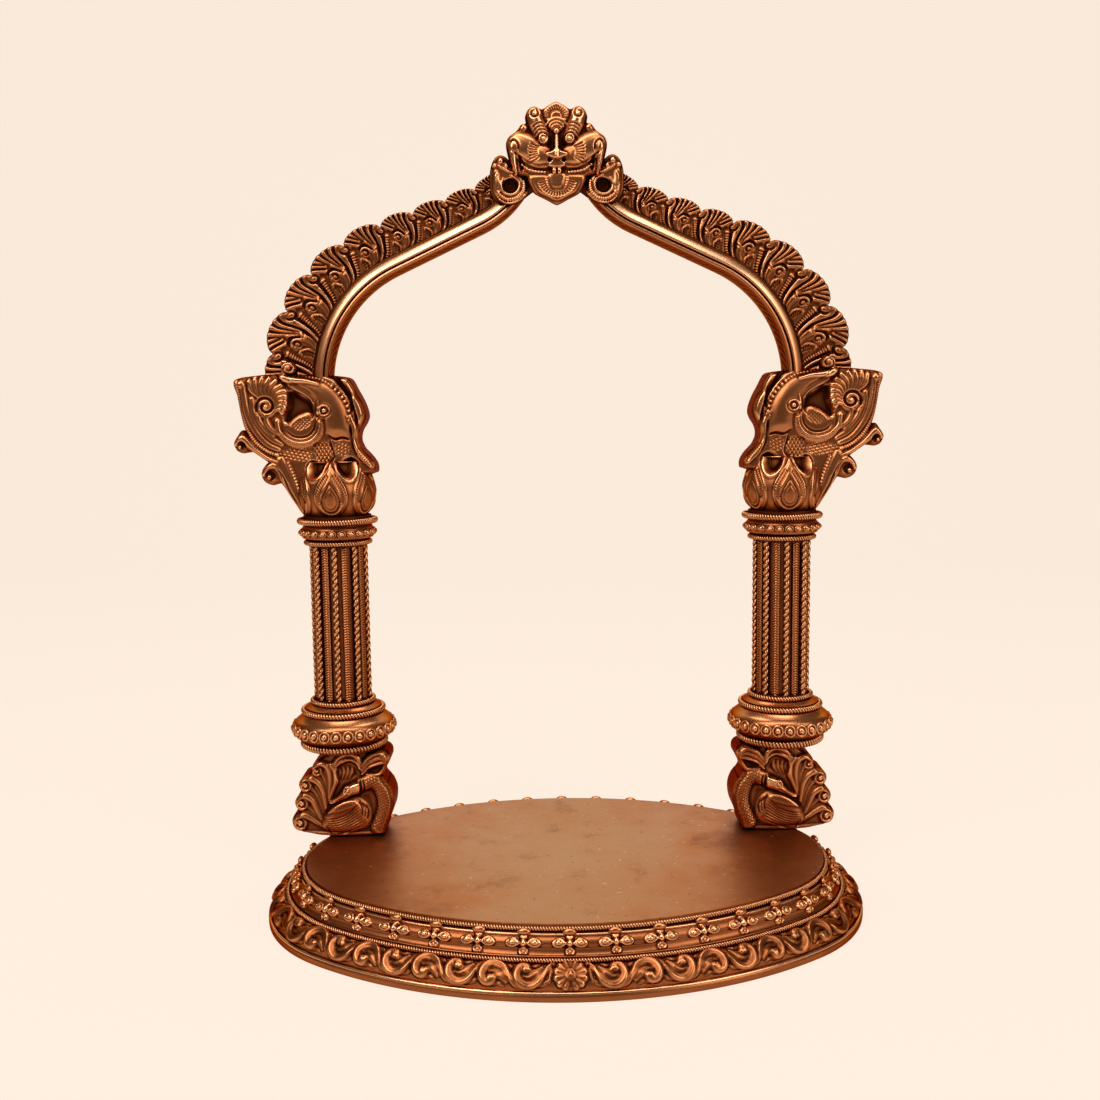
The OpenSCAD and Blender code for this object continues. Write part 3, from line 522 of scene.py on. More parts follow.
def oval_sweep(section, count, patina_and_shade, lift=None):
    """A closed section of [offset, height] swept round the oval; lift moves points along their normals."""
    section = np.asarray(section, float)
    headings = oval_headings(count)
    d = np.broadcast_to(section[:, 0], (count, len(section)))
    z = np.broadcast_to(section[:, 1], (count, len(section)))
    if lift is not None:
        step = np.gradient(section, axis=0)
        normal = np.stack([-step[:, 1], step[:, 0]], 1) / np.maximum(np.hypot(*step.T), 1e-6)[:, None]
        d, z = d + lift * normal[:, 0], z + lift * normal[:, 1]
    x, y = oval_place(headings, d)
    marks = np.broadcast_to(patina_and_shade, (count, len(section)))
    return Form(np.stack([x, y, z], -1), quads_between(count, len(section), True, True), marks).outward()


def arc_points(centre, r, start, end, n):
    """Points on an arc between two angles in degrees."""
    angle = np.radians(np.linspace(start, end, n))
    return np.stack([centre[0] + r * np.cos(angle), centre[1] + r * np.sin(angle)], 1)


# The points of a closed ring end this many degrees round, short of where they start.
NEARLY_ROUND = 343.77


# Materials


def linear(code):
    """An sRGB hex colour as linear RGBA."""
    parts = [int(code[i:i + 2], 16) / 255 for i in (1, 3, 5)]
    return [c / 12.92 if c <= 0.04045 else ((c + 0.055) / 1.055) ** 2.4 for c in parts] + [1.0]


def cycles(mm):
    """A pattern's scale, in cycles to the metre, from its size in mm."""
    return 1 / (mm * MM)


def add(tree, kind, links=None, **settings):
    """Adds a node with its settings; links gives each input a value or another node's output."""
    node = tree.nodes.new(kind)
    for key, value in settings.items():
        setattr(node, key, value)
    for key, value in (links or {}).items():
        if isinstance(value, bpy.types.NodeSocket):
            tree.links.new(value, node.inputs[key])
        else:
            node.inputs[key].default_value = value
    return node


def new_material(name):
    """An empty material and its node tree."""
    material = bpy.data.materials.new(name)
    material.use_nodes = True
    material.node_tree.nodes.clear()
    return material, material.node_tree


def fill_ramp(ramp, stops):
    """Sets a colour ramp's stops, given as (place, hex colour)."""
    elements = ramp.color_ramp.elements
    while len(elements) > 1:
        elements.remove(elements[-1])
    elements[0].position, elements[0].color = stops[0][0], linear(stops[0][1])
    for place, code in stops[1:]:
        elements.new(place).color = linear(code)


def antiqued_brass(name, stops, rough, spread):
    """Cast brass, darkened all over and rubbed back: ridges are bright and smooth, hollows dark and dull;
    the same attribute also brings in painted shade and painted highlights.
    Clouds of 25 mm vary the colour, and a sand grain of about 0.5 mm, coarser than real so that it shows,
    breaks up the gloss."""
    material, tree = new_material(name)
    spot = add(tree, "ShaderNodeTexCoord").outputs["Object"]
    patina = add(tree, "ShaderNodeAttribute", attribute_name="patina").outputs["Fac"]
    clouds = add(tree, "ShaderNodeTexNoise", {
        "Vector": spot, "Scale": cycles(25), "Detail": 4.0, "Roughness": 0.6})
    grain = add(tree, "ShaderNodeTexNoise", {"Vector": spot, "Scale": cycles(0.52632), "Detail": 2.0})
    shifted = add(tree, "ShaderNodeMath", {0: clouds.outputs["Fac"], 1: spread, 2: -0.5 * spread},
                  operation="MULTIPLY_ADD")
    grained = add(tree, "ShaderNodeMath", {0: grain.outputs["Fac"], 1: 0.1, 2: shifted.outputs[0]},
                  operation="MULTIPLY_ADD")
    tone = add(tree, "ShaderNodeMath", {0: patina, 1: grained.outputs[0]}, operation="ADD", use_clamp=True)
    ramp = add(tree, "ShaderNodeValToRGB", {"Fac": tone.outputs[0]})
    fill_ramp(ramp, stops)
    dull = add(tree, "ShaderNodeMapRange", {
        "Value": tone.outputs[0], 1: 0.1, 2: 0.9, 3: rough[0], 4: rough[1]})
    bump = add(tree, "ShaderNodeBump", {
        "Height": grain.outputs["Fac"], "Strength": 0.06, "Distance": 0.2 * MM})
    shader = add(tree, "ShaderNodeBsdfPrincipled", {
        "Base Color": ramp.outputs["Color"], "Metallic": 1.0, "Roughness": dull.outputs[0],
        "Specular Tint": linear("#B07850"), "Normal": bump.outputs["Normal"]})
    add(tree, "ShaderNodeOutputMaterial", {"Surface": shader.outputs[0]})
    return material


cast_brass = antiqued_brass(
    "antiqued cast brass",
    [(0.0, "#EBB486"), (0.25, "#CC885A"), (0.5, "#A05F38"), (0.76, "#68351A"), (1.0, "#351506")],
    (0.2, 0.46), 0.2)
wire_brass = antiqued_brass(
    "drawn brass wire, twisted",
    [(0.0, "#EBB486"), (0.35, "#C07F52"), (0.65, "#7A4323"), (1.0, "#35150A")],
    (0.2, 0.44), 0.2)
polished_brass = antiqued_brass(
    "cast brass, polished rib",
    [(0.0, "#F0B98E"), (0.4, "#BA7448"), (0.7, "#74401E"), (1.0, "#331407")],
    (0.23, 0.5), 0.16)


def rubbed_plate_with_reflection():
    """Sheet brass, hand-rubbed and tarnished: a paler middle and warmer ends painted as the reflection of
    the birds and columns, cloudy stains of about 40 mm, dark smudges of about 20 mm, and pits and pale
    flecks of about 2 mm. Its scratches, about 1 mm apart, are drawn wider than real ones so that they show."""
    material, tree = new_material("rubbed sheet brass, painted reflection")
    spot = add(tree, "ShaderNodeTexCoord").outputs["Object"]
    spread = add(tree, "ShaderNodeMapping", {
        "Vector": spot, "Scale": (cycles(166.667), cycles(333.333), 0.0)})
    # Painted reflection: the plate turns warmer and darker towards its ends, where it mirrors the birds and
    # columns
    middle = add(tree, "ShaderNodeVectorMath", {0: spread.outputs[0]}, operation="LENGTH")
    stains = add(tree, "ShaderNodeTexNoise", {
        "Vector": spot, "Scale": cycles(38.462), "Detail": 6.0, "Roughness": 0.62})
    specks = add(tree, "ShaderNodeTexNoise", {"Vector": spot, "Scale": cycles(2.381), "Detail": 2.0})
    narrow, lengthwise = cycles(0.90909), cycles(16.667)
    drawn = add(tree, "ShaderNodeMapping", {
        "Vector": spot, "Scale": (lengthwise, narrow, lengthwise), "Rotation": (0.0, 0.0, 0.5)})
    scratches = add(tree, "ShaderNodeTexNoise", {"Vector": drawn.outputs[0], "Scale": 1.0, "Detail": 1.0})
    tone = add(tree, "ShaderNodeMath", {0: stains.outputs["Fac"], 1: 0.7, 2: middle.outputs["Value"]},
               operation="MULTIPLY_ADD")
    ramp = add(tree, "ShaderNodeValToRGB", {"Fac": tone.outputs[0]})
    fill_ramp(ramp, [(0.3, "#B98A5C"), (0.62, "#B78253"), (0.84, "#B5733E"), (1.0, "#93532A")])
    pits = add(tree, "ShaderNodeMapRange", {
        "Value": specks.outputs["Fac"], 1: 0.68, 2: 0.74, 3: 0.0, 4: 0.5})
    colour = add(tree, "ShaderNodeMix", {
        0: pits.outputs[0], 6: ramp.outputs["Color"], 7: linear("#5A3317")}, data_type="RGBA")
    wiped = add(tree, "ShaderNodeTexNoise", {
        "Vector": spot, "Scale": cycles(20.833), "Detail": 5.0, "Roughness": 0.7})
    smudge = add(tree, "ShaderNodeMapRange", {
        "Value": wiped.outputs["Fac"], 1: 0.56, 2: 0.74, 3: 0.0, 4: 0.6})
    colour = add(tree, "ShaderNodeMix", {0: smudge.outputs[0], 6: colour.outputs[2], 7: linear("#6E4522")},
                 data_type="RGBA")
    flecks = add(tree, "ShaderNodeMapRange", {
        "Value": specks.outputs["Fac"], 1: 0.285, 2: 0.25, 3: 0.0, 4: 0.8})
    colour = add(tree, "ShaderNodeMix", {0: flecks.outputs[0], 6: colour.outputs[2], 7: linear("#E2B88C")},
                 data_type="RGBA")
    dull = add(tree, "ShaderNodeMapRange", {
        "Value": stains.outputs["Fac"], 1: 0.3, 2: 0.7, 3: 0.34, 4: 0.52})
    bump = add(tree, "ShaderNodeBump", {
        "Height": scratches.outputs["Fac"], "Strength": 0.1, "Distance": 0.2 * MM})
    shader = add(tree, "ShaderNodeBsdfPrincipled", {
        "Base Color": colour.outputs[2], "Metallic": 1.0, "Roughness": dull.outputs[0],
        "Normal": bump.outputs["Normal"]})
    add(tree, "ShaderNodeOutputMaterial", {"Surface": shader.outputs[0]})
    return material


def as_cast_brass():
    """Sand-cast brass left dark where it doesn't show: a dull skin with a grain of about 1 mm."""
    material, tree = new_material("as-cast dark brass")
    spot = add(tree, "ShaderNodeTexCoord").outputs["Object"]
    grain = add(tree, "ShaderNodeTexNoise", {"Vector": spot, "Scale": cycles(1.1111), "Detail": 3.0})
    clouds = add(tree, "ShaderNodeTexNoise", {"Vector": spot, "Scale": cycles(16.667), "Detail": 3.0})
    ramp = add(tree, "ShaderNodeValToRGB", {"Fac": clouds.outputs["Fac"]})
    fill_ramp(ramp, [(0.3, "#7A4B29"), (0.7, "#4E2C15")])
    bump = add(tree, "ShaderNodeBump", {
        "Height": grain.outputs["Fac"], "Strength": 0.25, "Distance": 0.4 * MM})
    shader = add(tree, "ShaderNodeBsdfPrincipled", {
        "Base Color": ramp.outputs["Color"], "Metallic": 1.0, "Roughness": 0.5,
        "Specular Tint": linear("#5A3A24"), "Normal": bump.outputs["Normal"]})
    add(tree, "ShaderNodeOutputMaterial", {"Surface": shader.outputs[0]})
    return material


plate_brass = rubbed_plate_with_reflection()
dark_brass = as_cast_brass()

# Geometry Nodes: a twisted wire along a path, and a row of small castings


def new_tree(name, inputs):
    """A node tree with a geometry input, named inputs and a geometry output."""
    tree = bpy.data.node_groups.new(name, "GeometryNodeTree")
    tree.interface.new_socket("Geometry", in_out="INPUT", socket_type="NodeSocketGeometry")
    for label, kind in inputs:
        tree.interface.new_socket(label, in_out="INPUT", socket_type=kind)
    tree.interface.new_socket("Geometry", in_out="OUTPUT", socket_type="NodeSocketGeometry")
    return tree, add(tree, "NodeGroupInput").outputs


def close_tree(tree, geometry, material):
    """Ends a tree: real geometry, smooth shading and its material."""
    real = add(tree, "GeometryNodeRealizeInstances", {"Geometry": geometry})
    smooth = add(tree, "GeometryNodeSetShadeSmooth", {"Geometry": real.outputs[0]})
    coated = add(tree, "GeometryNodeSetMaterial", {"Geometry": smooth.outputs[0], "Material": material})
    add(tree, "NodeGroupOutput", {"Geometry": coated.outputs[0]})


def twisted_wire_tree():
    """Strands laid round each other: a lobed section that turns as it goes along the path."""
    inputs = [(label, "NodeSocketFloat") for label in ("Radius", "Strands", "Pitch", "Depth", "Step")]
    inputs += [("Sides", "NodeSocketInt"), ("Brass", "NodeSocketMaterial")]
    tree, given = new_tree("twisted_wire", inputs)
    path = add(tree, "GeometryNodeMeshToCurve", {"Mesh": given["Geometry"]})
    even = add(tree, "GeometryNodeResampleCurve", {"Curve": path.outputs[0], "Length": given["Step"]},
               mode="LENGTH")
    along = add(tree, "GeometryNodeSplineParameter")
    turns = add(tree, "ShaderNodeMath", {0: along.outputs["Length"], 1: given["Pitch"]}, operation="DIVIDE")
    tilt = add(tree, "ShaderNodeMath", {0: turns.outputs[0], 1: 2 * math.pi}, operation="MULTIPLY")
    laid = add(tree, "GeometryNodeSetCurveTilt", {"Curve": even.outputs[0], "Tilt": tilt.outputs[0]})
    circle = add(tree, "GeometryNodeCurvePrimitiveCircle", {
        "Resolution": given["Sides"], "Radius": given["Radius"]}, mode="RADIUS")
    where = add(tree, "GeometryNodeInputPosition")
    parts = add(tree, "ShaderNodeSeparateXYZ", {0: where.outputs[0]})
    angle = add(tree, "ShaderNodeMath", {0: parts.outputs[1], 1: parts.outputs[0]}, operation="ARCTAN2")
    half = add(tree, "ShaderNodeMath", {0: given["Strands"], 1: 0.5}, operation="MULTIPLY")
    phase = add(tree, "ShaderNodeMath", {0: angle.outputs[0], 1: half.outputs[0]}, operation="MULTIPLY")
    wave = add(tree, "ShaderNodeMath", {0: phase.outputs[0]}, operation="SINE")
    crest = add(tree, "ShaderNodeMath", {0: wave.outputs[0]}, operation="ABSOLUTE")
    valley = add(tree, "ShaderNodeMath", {0: 1.0, 1: crest.outputs[0]}, operation="SUBTRACT")
    sink = add(tree, "ShaderNodeMath", {0: valley.outputs[0], 1: given["Depth"]}, operation="MULTIPLY")
    share = add(tree, "ShaderNodeMath", {0: 1.0, 1: sink.outputs[0]}, operation="SUBTRACT")
    lobed = add(tree, "ShaderNodeVectorMath", {0: where.outputs[0], "Scale": share.outputs[0]},
                operation="SCALE")
    patina_and_shade = add(tree, "ShaderNodeMath", {0: valley.outputs[0], 1: 0.75, 2: 0.06},
                  operation="MULTIPLY_ADD")
    marked = add(tree, "GeometryNodeStoreNamedAttribute", {
        "Geometry": circle.outputs[0], "Name": "patina", "Value": patina_and_shade.outputs[0]}, data_type="FLOAT")
    section = add(tree, "GeometryNodeSetPosition", {
        "Geometry": marked.outputs[0], "Position": lobed.outputs[0]})
    wire = add(tree, "GeometryNodeCurveToMesh", {
        "Curve": laid.outputs[0], "Profile Curve": section.outputs[0], "Fill Caps": True})
    close_tree(tree, wire.outputs[0], given["Brass"])
    return tree


def casting_row_tree():
    """The same small casting on every point of a mesh, turned by the point's own angles."""
    tree, given = new_tree("casting_row", [("Casting", "NodeSocketObject"),
                                           ("Brass", "NodeSocketMaterial")])
    unit = add(tree, "GeometryNodeObjectInfo", {"Object": given["Casting"]})
    turn = add(tree, "GeometryNodeInputNamedAttribute", {"Name": "turn"}, data_type="FLOAT_VECTOR")
    rotation = add(tree, "FunctionNodeEulerToRotation", {0: turn.outputs[0]})
    row = add(tree, "GeometryNodeInstanceOnPoints", {
        "Points": given["Geometry"], "Instance": unit.outputs["Geometry"], "Rotation": rotation.outputs[0]})
    close_tree(tree, row.outputs[0], given["Brass"])
    return tree


WIRE_TREE = twisted_wire_tree()
ROW_TREE = casting_row_tree()


def grown(name, mesh, tree, values):
    """Runs a tree on a mesh with these inputs and returns the plain mesh that it makes."""
    holder = bpy.data.objects.new(name, mesh)
    bpy.context.scene.collection.objects.link(holder)
    modifier = holder.modifiers.new("shape", "NODES")
    modifier.node_group = tree
    for item in tree.interface.items_tree:
        if item.in_out == "INPUT" and item.name in values:
            modifier[item.identifier] = values[item.name]
    bpy.context.view_layer.update()
    depsgraph = bpy.context.evaluated_depsgraph_get()
    made = bpy.data.meshes.new_from_object(holder.evaluated_get(depsgraph), depsgraph=depsgraph)
    bpy.data.objects.remove(holder)
    bpy.data.meshes.remove(mesh)
    made.name = name
    return made


def path_mesh(name, paths):
    """Edges along several lines, each given as (points, closed)."""
    points, edges, start = [], [], 0
    for line, closed in paths:
        n = len(line)
        points.append(np.asarray(line, float) * MM)
        edges += [(start + i, start + (i + 1) % n) for i in range(n if closed else n - 1)]
        start += n
    mesh = bpy.data.meshes.new(name)
    mesh.from_pydata(np.vstack(points).tolist(), edges, [])
    return mesh


STRANDS = 2.0


def twisted_wires(name, paths, r, pitch, body, stands_for, depth, step, sides):
    """One piece of twisted wires; the pitch is trimmed so that a closed wire's strands meet."""
    line, closed = paths[0]
    ends = np.vstack([line, line[:1]]) if closed else line
    length = np.hypot(np.hypot(*np.diff(ends[:, :2], axis=0).T), np.diff(ends[:, 2])).sum()
    lay = length / max(1, round(length / pitch))
    mesh = grown(name, path_mesh(name, paths), WIRE_TREE, {
        "Radius": r * MM, "Strands": STRANDS, "Pitch": lay * MM, "Depth": depth, "Step": step * MM,
        "Sides": sides, "Brass": wire_brass})
    put(name, mesh, body, stands_for)


def casting_row(name, casting, places, turns, body, stands_for, material):
    """One piece of small castings, set at places with turns in radians."""
    unit = bpy.data.objects.new(name + "_unit", mesh_of(name + "_unit", casting))
    bpy.context.scene.collection.objects.link(unit)
    points = bpy.data.meshes.new(name)
    points.from_pydata((np.asarray(places) * MM).tolist(), [], [])
    turn = points.attributes.new("turn", "FLOAT_VECTOR", "POINT")
    turn.data.foreach_set("vector", np.asarray(turns, np.float32).ravel())
    mesh = grown(name, points, ROW_TREE, {"Casting": unit, "Brass": material})
    bpy.data.objects.remove(unit)
    put(name, mesh, body, stands_for)


# Pedestal

TORUS_C, TORUS_R = np.array([8.1, 4.6]), 8.4
SHELL_TOP = 23.98
PEDESTAL_STEPS = 320
inner_wall = [[15.1, 0], [13.6, 3.6], [7.5, 9.6], [2.6, 13], [-5.1, 19.8]]
outer_wall = np.vstack([
    [[-5.1, SHELL_TOP], [-2, SHELL_TOP], [1.5, SHELL_TOP], [1.7, 23.8]],
    arc_points((2.0, 23.35), 0.5, 110, -60, 7),
    curve([[2.3, 22.75], [3.4, 22.3], [4.5, 21.0], [4.9, 19.6], [4.75, 18.9]], 4),
    curve([[4.95, 18.6], [5.2, 17.4], [5.9, 16.2], [6.95, 15.5]], 4),
    [[7.0, 15.2], [7.0, 13.1], [7.2, 13.0]],
    arc_points(TORUS_C, TORUS_R, 90, 0, 26),
    [[16.6, 3.9]],
    arc_points((17.4, 3.55), 0.8, 165, 0, 8),
    [[18.3, 3.1], [18.5, 2.9], [18.5, 1.5], [18.4, 0.25], [18.2, 0.0]]])
pedestal_section = np.vstack([outer_wall, inner_wall])


def pedestal_patina_and_shade():
    """Painted shade inside, under the plate and behind the rope, and dark joints; bright on the upper fillet
    and the foot's bead.
    """
    d, z = pedestal_section.T
    # Painted shade inside the shell, under the plate and behind the rope
    marks = np.concatenate([np.full(len(outer_wall), 0.5), np.full(len(inner_wall), 0.75)])
    marks[:4] = 0.85
    foot_bead = (np.abs(z - 4.0) < 0.6) & (d > 16.7)
    fillet = (np.abs(z - 23.4) < 0.5) & (d > 1.9)
    joint = np.abs(z - 18.75) < 0.25
    shade_behind_rope = (z > 12.9) & (z < 15.4) & (d > 6.8)
    return np.select([foot_bead, fillet, joint | shade_behind_rope], [0.02, 0.05, 0.7], marks)


pedestal = oval_sweep(pedestal_section, PEDESTAL_STEPS, pedestal_patina_and_shade())
put("pedestal_body", mesh_of("pedestal_body", pedestal), "base", ["pedestal_shell"],
    cast_brass, 50)


def round_oval(d, z, count=720):
    """A closed path round the oval."""
    x, y = oval_place(oval_headings(count), np.array([d]))
    return np.stack([x[:, 0], y[:, 0], np.full(count, z)], 1)


ROPE_R, ROPE_PITCH = 1.2, 2.6
for name, node, d, z in (("plate_rope", "upper_rope", 0.3, 25.3),
                         ("moulding_rope", "lower_rope", 8.3, 14.3)):
    twisted_wires(name, [(round_oval(d, z), True)], ROPE_R, ROPE_PITCH, "base", [node],
                  depth=0.34, step=0.36, sides=10)


def relief_band(line, lift, mark, back):
    """A relief bent round the oval along a line of [offset, height], closed by the points behind it."""
    plain = (len(back), lift.shape[1])
    lift = np.vstack([lift, np.zeros(plain)]).T
    mark = np.vstack([mark, np.full(plain, 0.6)]).T
    return oval_sweep(np.vstack([line, back]), len(lift), mark, lift)


# Flowers on the pedestal's roll: two leaf petals, an upper bud and a ring petal that hangs below

FLOWER_N = 36
FLOWER_STEP = 64
flower_pitch = oval_marks(SPACING_D)[-1] / FLOWER_N
roll = curve([[2.3, 22.9], [3.4, 22.3], [4.5, 21.0], [4.9, 19.6], [5.0, 18.2], [5.5, 16.8],
              [6.6, 15.7]], 12)
roll_marks = np.concatenate([[0], np.cumsum(np.hypot(*np.diff(roll, axis=0).T))])
ROLL_ROWS = 38
roll_at = np.linspace(0, roll_marks[-1], ROLL_ROWS)
roll_line = np.stack([np.interp(roll_at, roll_marks, roll[:, i]) for i in (0, 1)], 1)
roll_l = roll_marks[-1]


def flower_relief():
    """One flower: u along the oval, v down the roll from the bright fillet."""
    cell = flower_pitch / FLOWER_STEP
    face = Relief((-flower_pitch / 2, 0), (flower_pitch / 2 - 0.5 * cell, roll_l), cell)
    mid = 3.3
    for side in (-1, 1):
        petal = [(1.2, 0.2), (3.2, -1.7), (5.4, -2.1), (7.4, -1.1), (8.4, 0.3), (7.0, 1.9), (4.8, 2.3),
                 (2.8, 1.7)]
        seam = [(2.8, 0.1), (4.2, -1.0), (5.8, -1.1), (7.0, 0.1), (5.8, 1.2), (4.2, 1.1), (2.8, 0.1)]
        face.plate([(side * x, mid + y) for x, y in petal], 1.8, 0.8)
        face.groove([(side * x, mid + y) for x, y in seam], 0.42, 0.75)
    face.plate([(-1.9, 1.7), (-2.1, 0.4), (-1.1, -0.6), (1.1, -0.6), (2.1, 0.4), (1.9, 1.7), (0, 2.6)], 1.6,
               0.8)
    face.plate([(0, 4.6), (1.9, 5.6), (2.6, 7.2), (1.8, 9), (0, 10.4), (-1.8, 9), (-2.6, 7.2), (-1.9, 5.6)],
               1.9, 0.8)
    face.groove([(0, 6), (1.2, 7.1), (0, 9.0), (-1.2, 7.1), (0, 6)], 0.42, 0.75)
    face.dome((0, mid + 0.2), 1.8, 1.8, 2.5)
    return face


def all_round(field):
    """A flower's field repeated round the oval, with a flower in the middle of the front."""
    one = sampled(field, roll_at / roll_l)[:, :FLOWER_STEP]
    return np.roll(np.tile(one, FLOWER_N), -(FLOWER_STEP // 2), 1)


FLOWER_SINK = 0.12
flower = flower_relief()
roll_fade = np.interp(np.arange(ROLL_ROWS), [0, 1, ROLL_ROWS - 2, ROLL_ROWS - 1], [0, 1, 1, 0])[:, None]
flower_lift = all_round(flower.height()) * roll_fade - FLOWER_SINK
flowers = relief_band(roll_line, flower_lift, all_round(flower.patina_and_shade()), [[4.6, 15.7], [1.4, 20.0]])
put("flower_band", mesh_of("flower_band", flowers), "base",
    ["flower_bosses"], cast_brass, 60)


def bud():
    """The tip of a flower's upper petal, broad along the oval."""
    form = lathe([[0.05, -1.9], [1.0, -1.6], [1.5, -0.4], [1.4, 0.7], [0.8, 1.6], [0.05, 1.9]], 12, 0.3)
    form.points *= [0.9, 2.2, 0.9]
    return form


BUD_D, BUD_Z = 3.2, 25.1
bud_at = oval_headings(FLOWER_N)
bud_places = round_oval(BUD_D, BUD_Z, FLOWER_N)
bud_turns = np.stack([np.zeros(FLOWER_N), np.zeros(FLOWER_N), bud_at], 1)
casting_row("flower_buds", bud(), bud_places, bud_turns, "base", ["flower_bosses"],
            cast_brass)

# Scroll vine on the swelling, mirrored about the rosettes at the front and the back

VINE_COUNT = 920
VINE_ROWS = 44
SCROLL_N = 24
half_round = oval_marks(SPACING_D)[-1] / 2
vine_angle = np.radians(np.linspace(88, 2, VINE_ROWS))
vine_line = TORUS_C + (TORUS_R - 0.1) * np.stack([np.cos(vine_angle), np.sin(vine_angle)], 1)
vine_l = TORUS_R * (vine_angle[0] - vine_angle[-1])


def rosette(face, at):
    """A daisy of round petals about a ringed heart, with a short upright stem on each side."""
    mid = 0.5 * vine_l
    petals = 13
    face.dome((at, mid), 7.6, 6.9, 1.1, sharp=0.25)
    for k in range(petals):
        turn = 2 * math.pi * (k + 0.5) / petals
        c, s = math.cos(turn), math.sin(turn)
        face.stroke([(at + 2.4 * c, mid + 2.4 * s), (at + 6.2 * c, mid + 5.6 * s)], 1.6, 1.4, (0.4, 1.0),
                    0.8, False, 0.9)
    face.ring((at, mid), 1.75, 0.5, 0.8, 1.4)
    face.dome((at, mid), 1.1, 1.1, 1.2, base=1.5)
    for side in (-1, 1):
        face.stroke([(at + side * 8.4, 1.2), (at + side * 8.3, 5), (at + side * 9.0, 9.5)], 0.9, 1.2,
                    (1, 0.6))


SCROLL_W, SCROLL_H = 15.6, 12.6


def scroll_place(k, left, pitch):
    """Places scroll k's points; every other scroll is upside down, with its curl nearer the rosette."""
    def at(x, y):
        return left - x * pitch / SCROLL_W, (y if k % 2 else SCROLL_H - y) * vine_l / SCROLL_H

    return lambda points: [at(x, y) for x, y in points]


def vine_relief():
    """One half of the vine: scrolls that curl over and under in turn, each with a hatched leaf inside."""
    cell = half_round / VINE_COUNT
    face = Relief((0, 0), (half_round - 0.5 * cell, vine_l), cell)
    face.dark_patina_and_shade += 0.5
    clear = 9.4
    pitch = (half_round - 2 * clear) / SCROLL_N
    for k in range(SCROLL_N):
        on = scroll_place(k, clear + (k + 0.5) * pitch, pitch)
        face.stroke(on([(10.6, 12.0), (8.4, 10.6), (6.0, 7.2), (3.0, 3.2), (-1.4, 1.5), (-5.0, 3.2),
                        (-6.4, 6.6), (-5.0, 9.6), (-2.2, 10.0), (-1.0, 8.2)]), 2.5, 2.0, (0.3, 0.75), 0.2,
                    swell=0.55)
        face.groove(on([(6.6, 8.2), (3.2, 4.1), (-1.2, 2.3), (-4.4, 3.9), (-5.6, 6.6), (-4.6, 8.8)]), 0.4,
                    0.45)
        face.dome(on([(-2.6, 8.6)])[0], 1.9, 2.1, 2.1)
        leaf = on([(4.8, 9.4), (2.0, 6.8), (-0.8, 5.2), (-3.2, 5.6)])
        face.stroke(leaf, 2.2, 1.4, (0.5, 0.3), 0.2)
        face.ticks(leaf, 1.6, 1.3, 0.3, 0.6)
        face.stroke(on([(8.2, 4.4), (5.6, 2.0), (2.6, 1.0)]), 1.0, 0.9, (0.4, 0.4))
        face.stroke(on([(4.4, 11.8), (1.2, 10.4), (-0.4, 11.9)]), 0.9, 0.8, (0.4, 0.4))
    rosette(face, 0.0)
    rosette(face, half_round)
    return face


def both_halves(half):
    """A half of the vine and its mirror image, joined at the rear rosette."""
    return np.hstack([half, half[:, -1:], half[:, :0:-1]])


vine = vine_relief()
vine_share = np.linspace(0, 1, VINE_ROWS)
vine_fade = np.interp(np.arange(VINE_ROWS), [0, 2, VINE_ROWS - 3, VINE_ROWS - 1], [0, 1, 1, 0])[:, None]
vine_lift = both_halves(sampled(vine.height(), vine_share)[:, :VINE_COUNT] * vine_fade)
vine_mark = both_halves(sampled(vine.patina_and_shade(), vine_share)[:, :VINE_COUNT])
vine_form = relief_band(vine_line, vine_lift, vine_mark, [[12.0, 3.6], [7.6, 8.6]])
put("scroll_vine_band", mesh_of("scroll_vine_band", vine_form), "base",
    ["scroll_vine", "front_rosette", "rear_rosette"], cast_brass, 60)

# Columns

SIDES = (("right", 1), ("left", -1))
AXIS = np.array([COLUMN_X, FRAME_Y, 0])
SHAFT_L = CAPITAL_Z - SHAFT_Z


def at_column(form, z):
    """Sets a form on the right column's axis."""
    return form.moved(AXIS + [0, 0, z])


def column_angles(count):
    """Even angles round a column, from the front."""
    return -math.pi / 2 + np.arange(count) / count * 2 * math.pi


BORE = 4.2
disc_profile = np.vstack([
    [[BORE, 0], [18.8, 0], [18.9, 5.9], [23.2, 6.0]],
    curve([[24.2, 6.5], [25.9, 8.0], [26.5, 9.8], [26.6, 12], [26.5, 14.2], [25.9, 15.6], [24.8, 16.7]], 5),
    curve([[24.3, 17.0], [23.0, 18.2], [21.9, 19.4]], 3),
    [[19.4, 19.6], [19.4, 23.0]],
    curve([[20.3, 23.1], [18.9, 23.7], [17.7, 24.6]], 3),
    [[14.7, 24.9], [14.7, 28.0], [BORE, 28.0]]])
disc_marks = np.interp(disc_profile[:, 1], [0, 5.9, 6.4, 9, 14, 17, 19.4, 19.8, 22.9, 23.2, 24.7, 28],
                       [0.7, 0.8, 0.5, 0.55, 0.55, 0.2, 0.3, 0.85, 0.85, 0.3, 0.35, 0.85])
put_pair("bell_disc_body", at_column(lathe(disc_profile, 144, disc_marks), DISC_Z), "frame",
         ["bell_disc"], cast_brass, 45)


def ring_path(r, z, sign, count=96):
    """A closed path round a column."""
    angle = np.arange(count) / count * 2 * math.pi
    x, y = sign * COLUMN_X + r * np.cos(angle), FRAME_Y + r * np.sin(angle)
    return np.stack([x, y, np.full(count, z)], 1), True


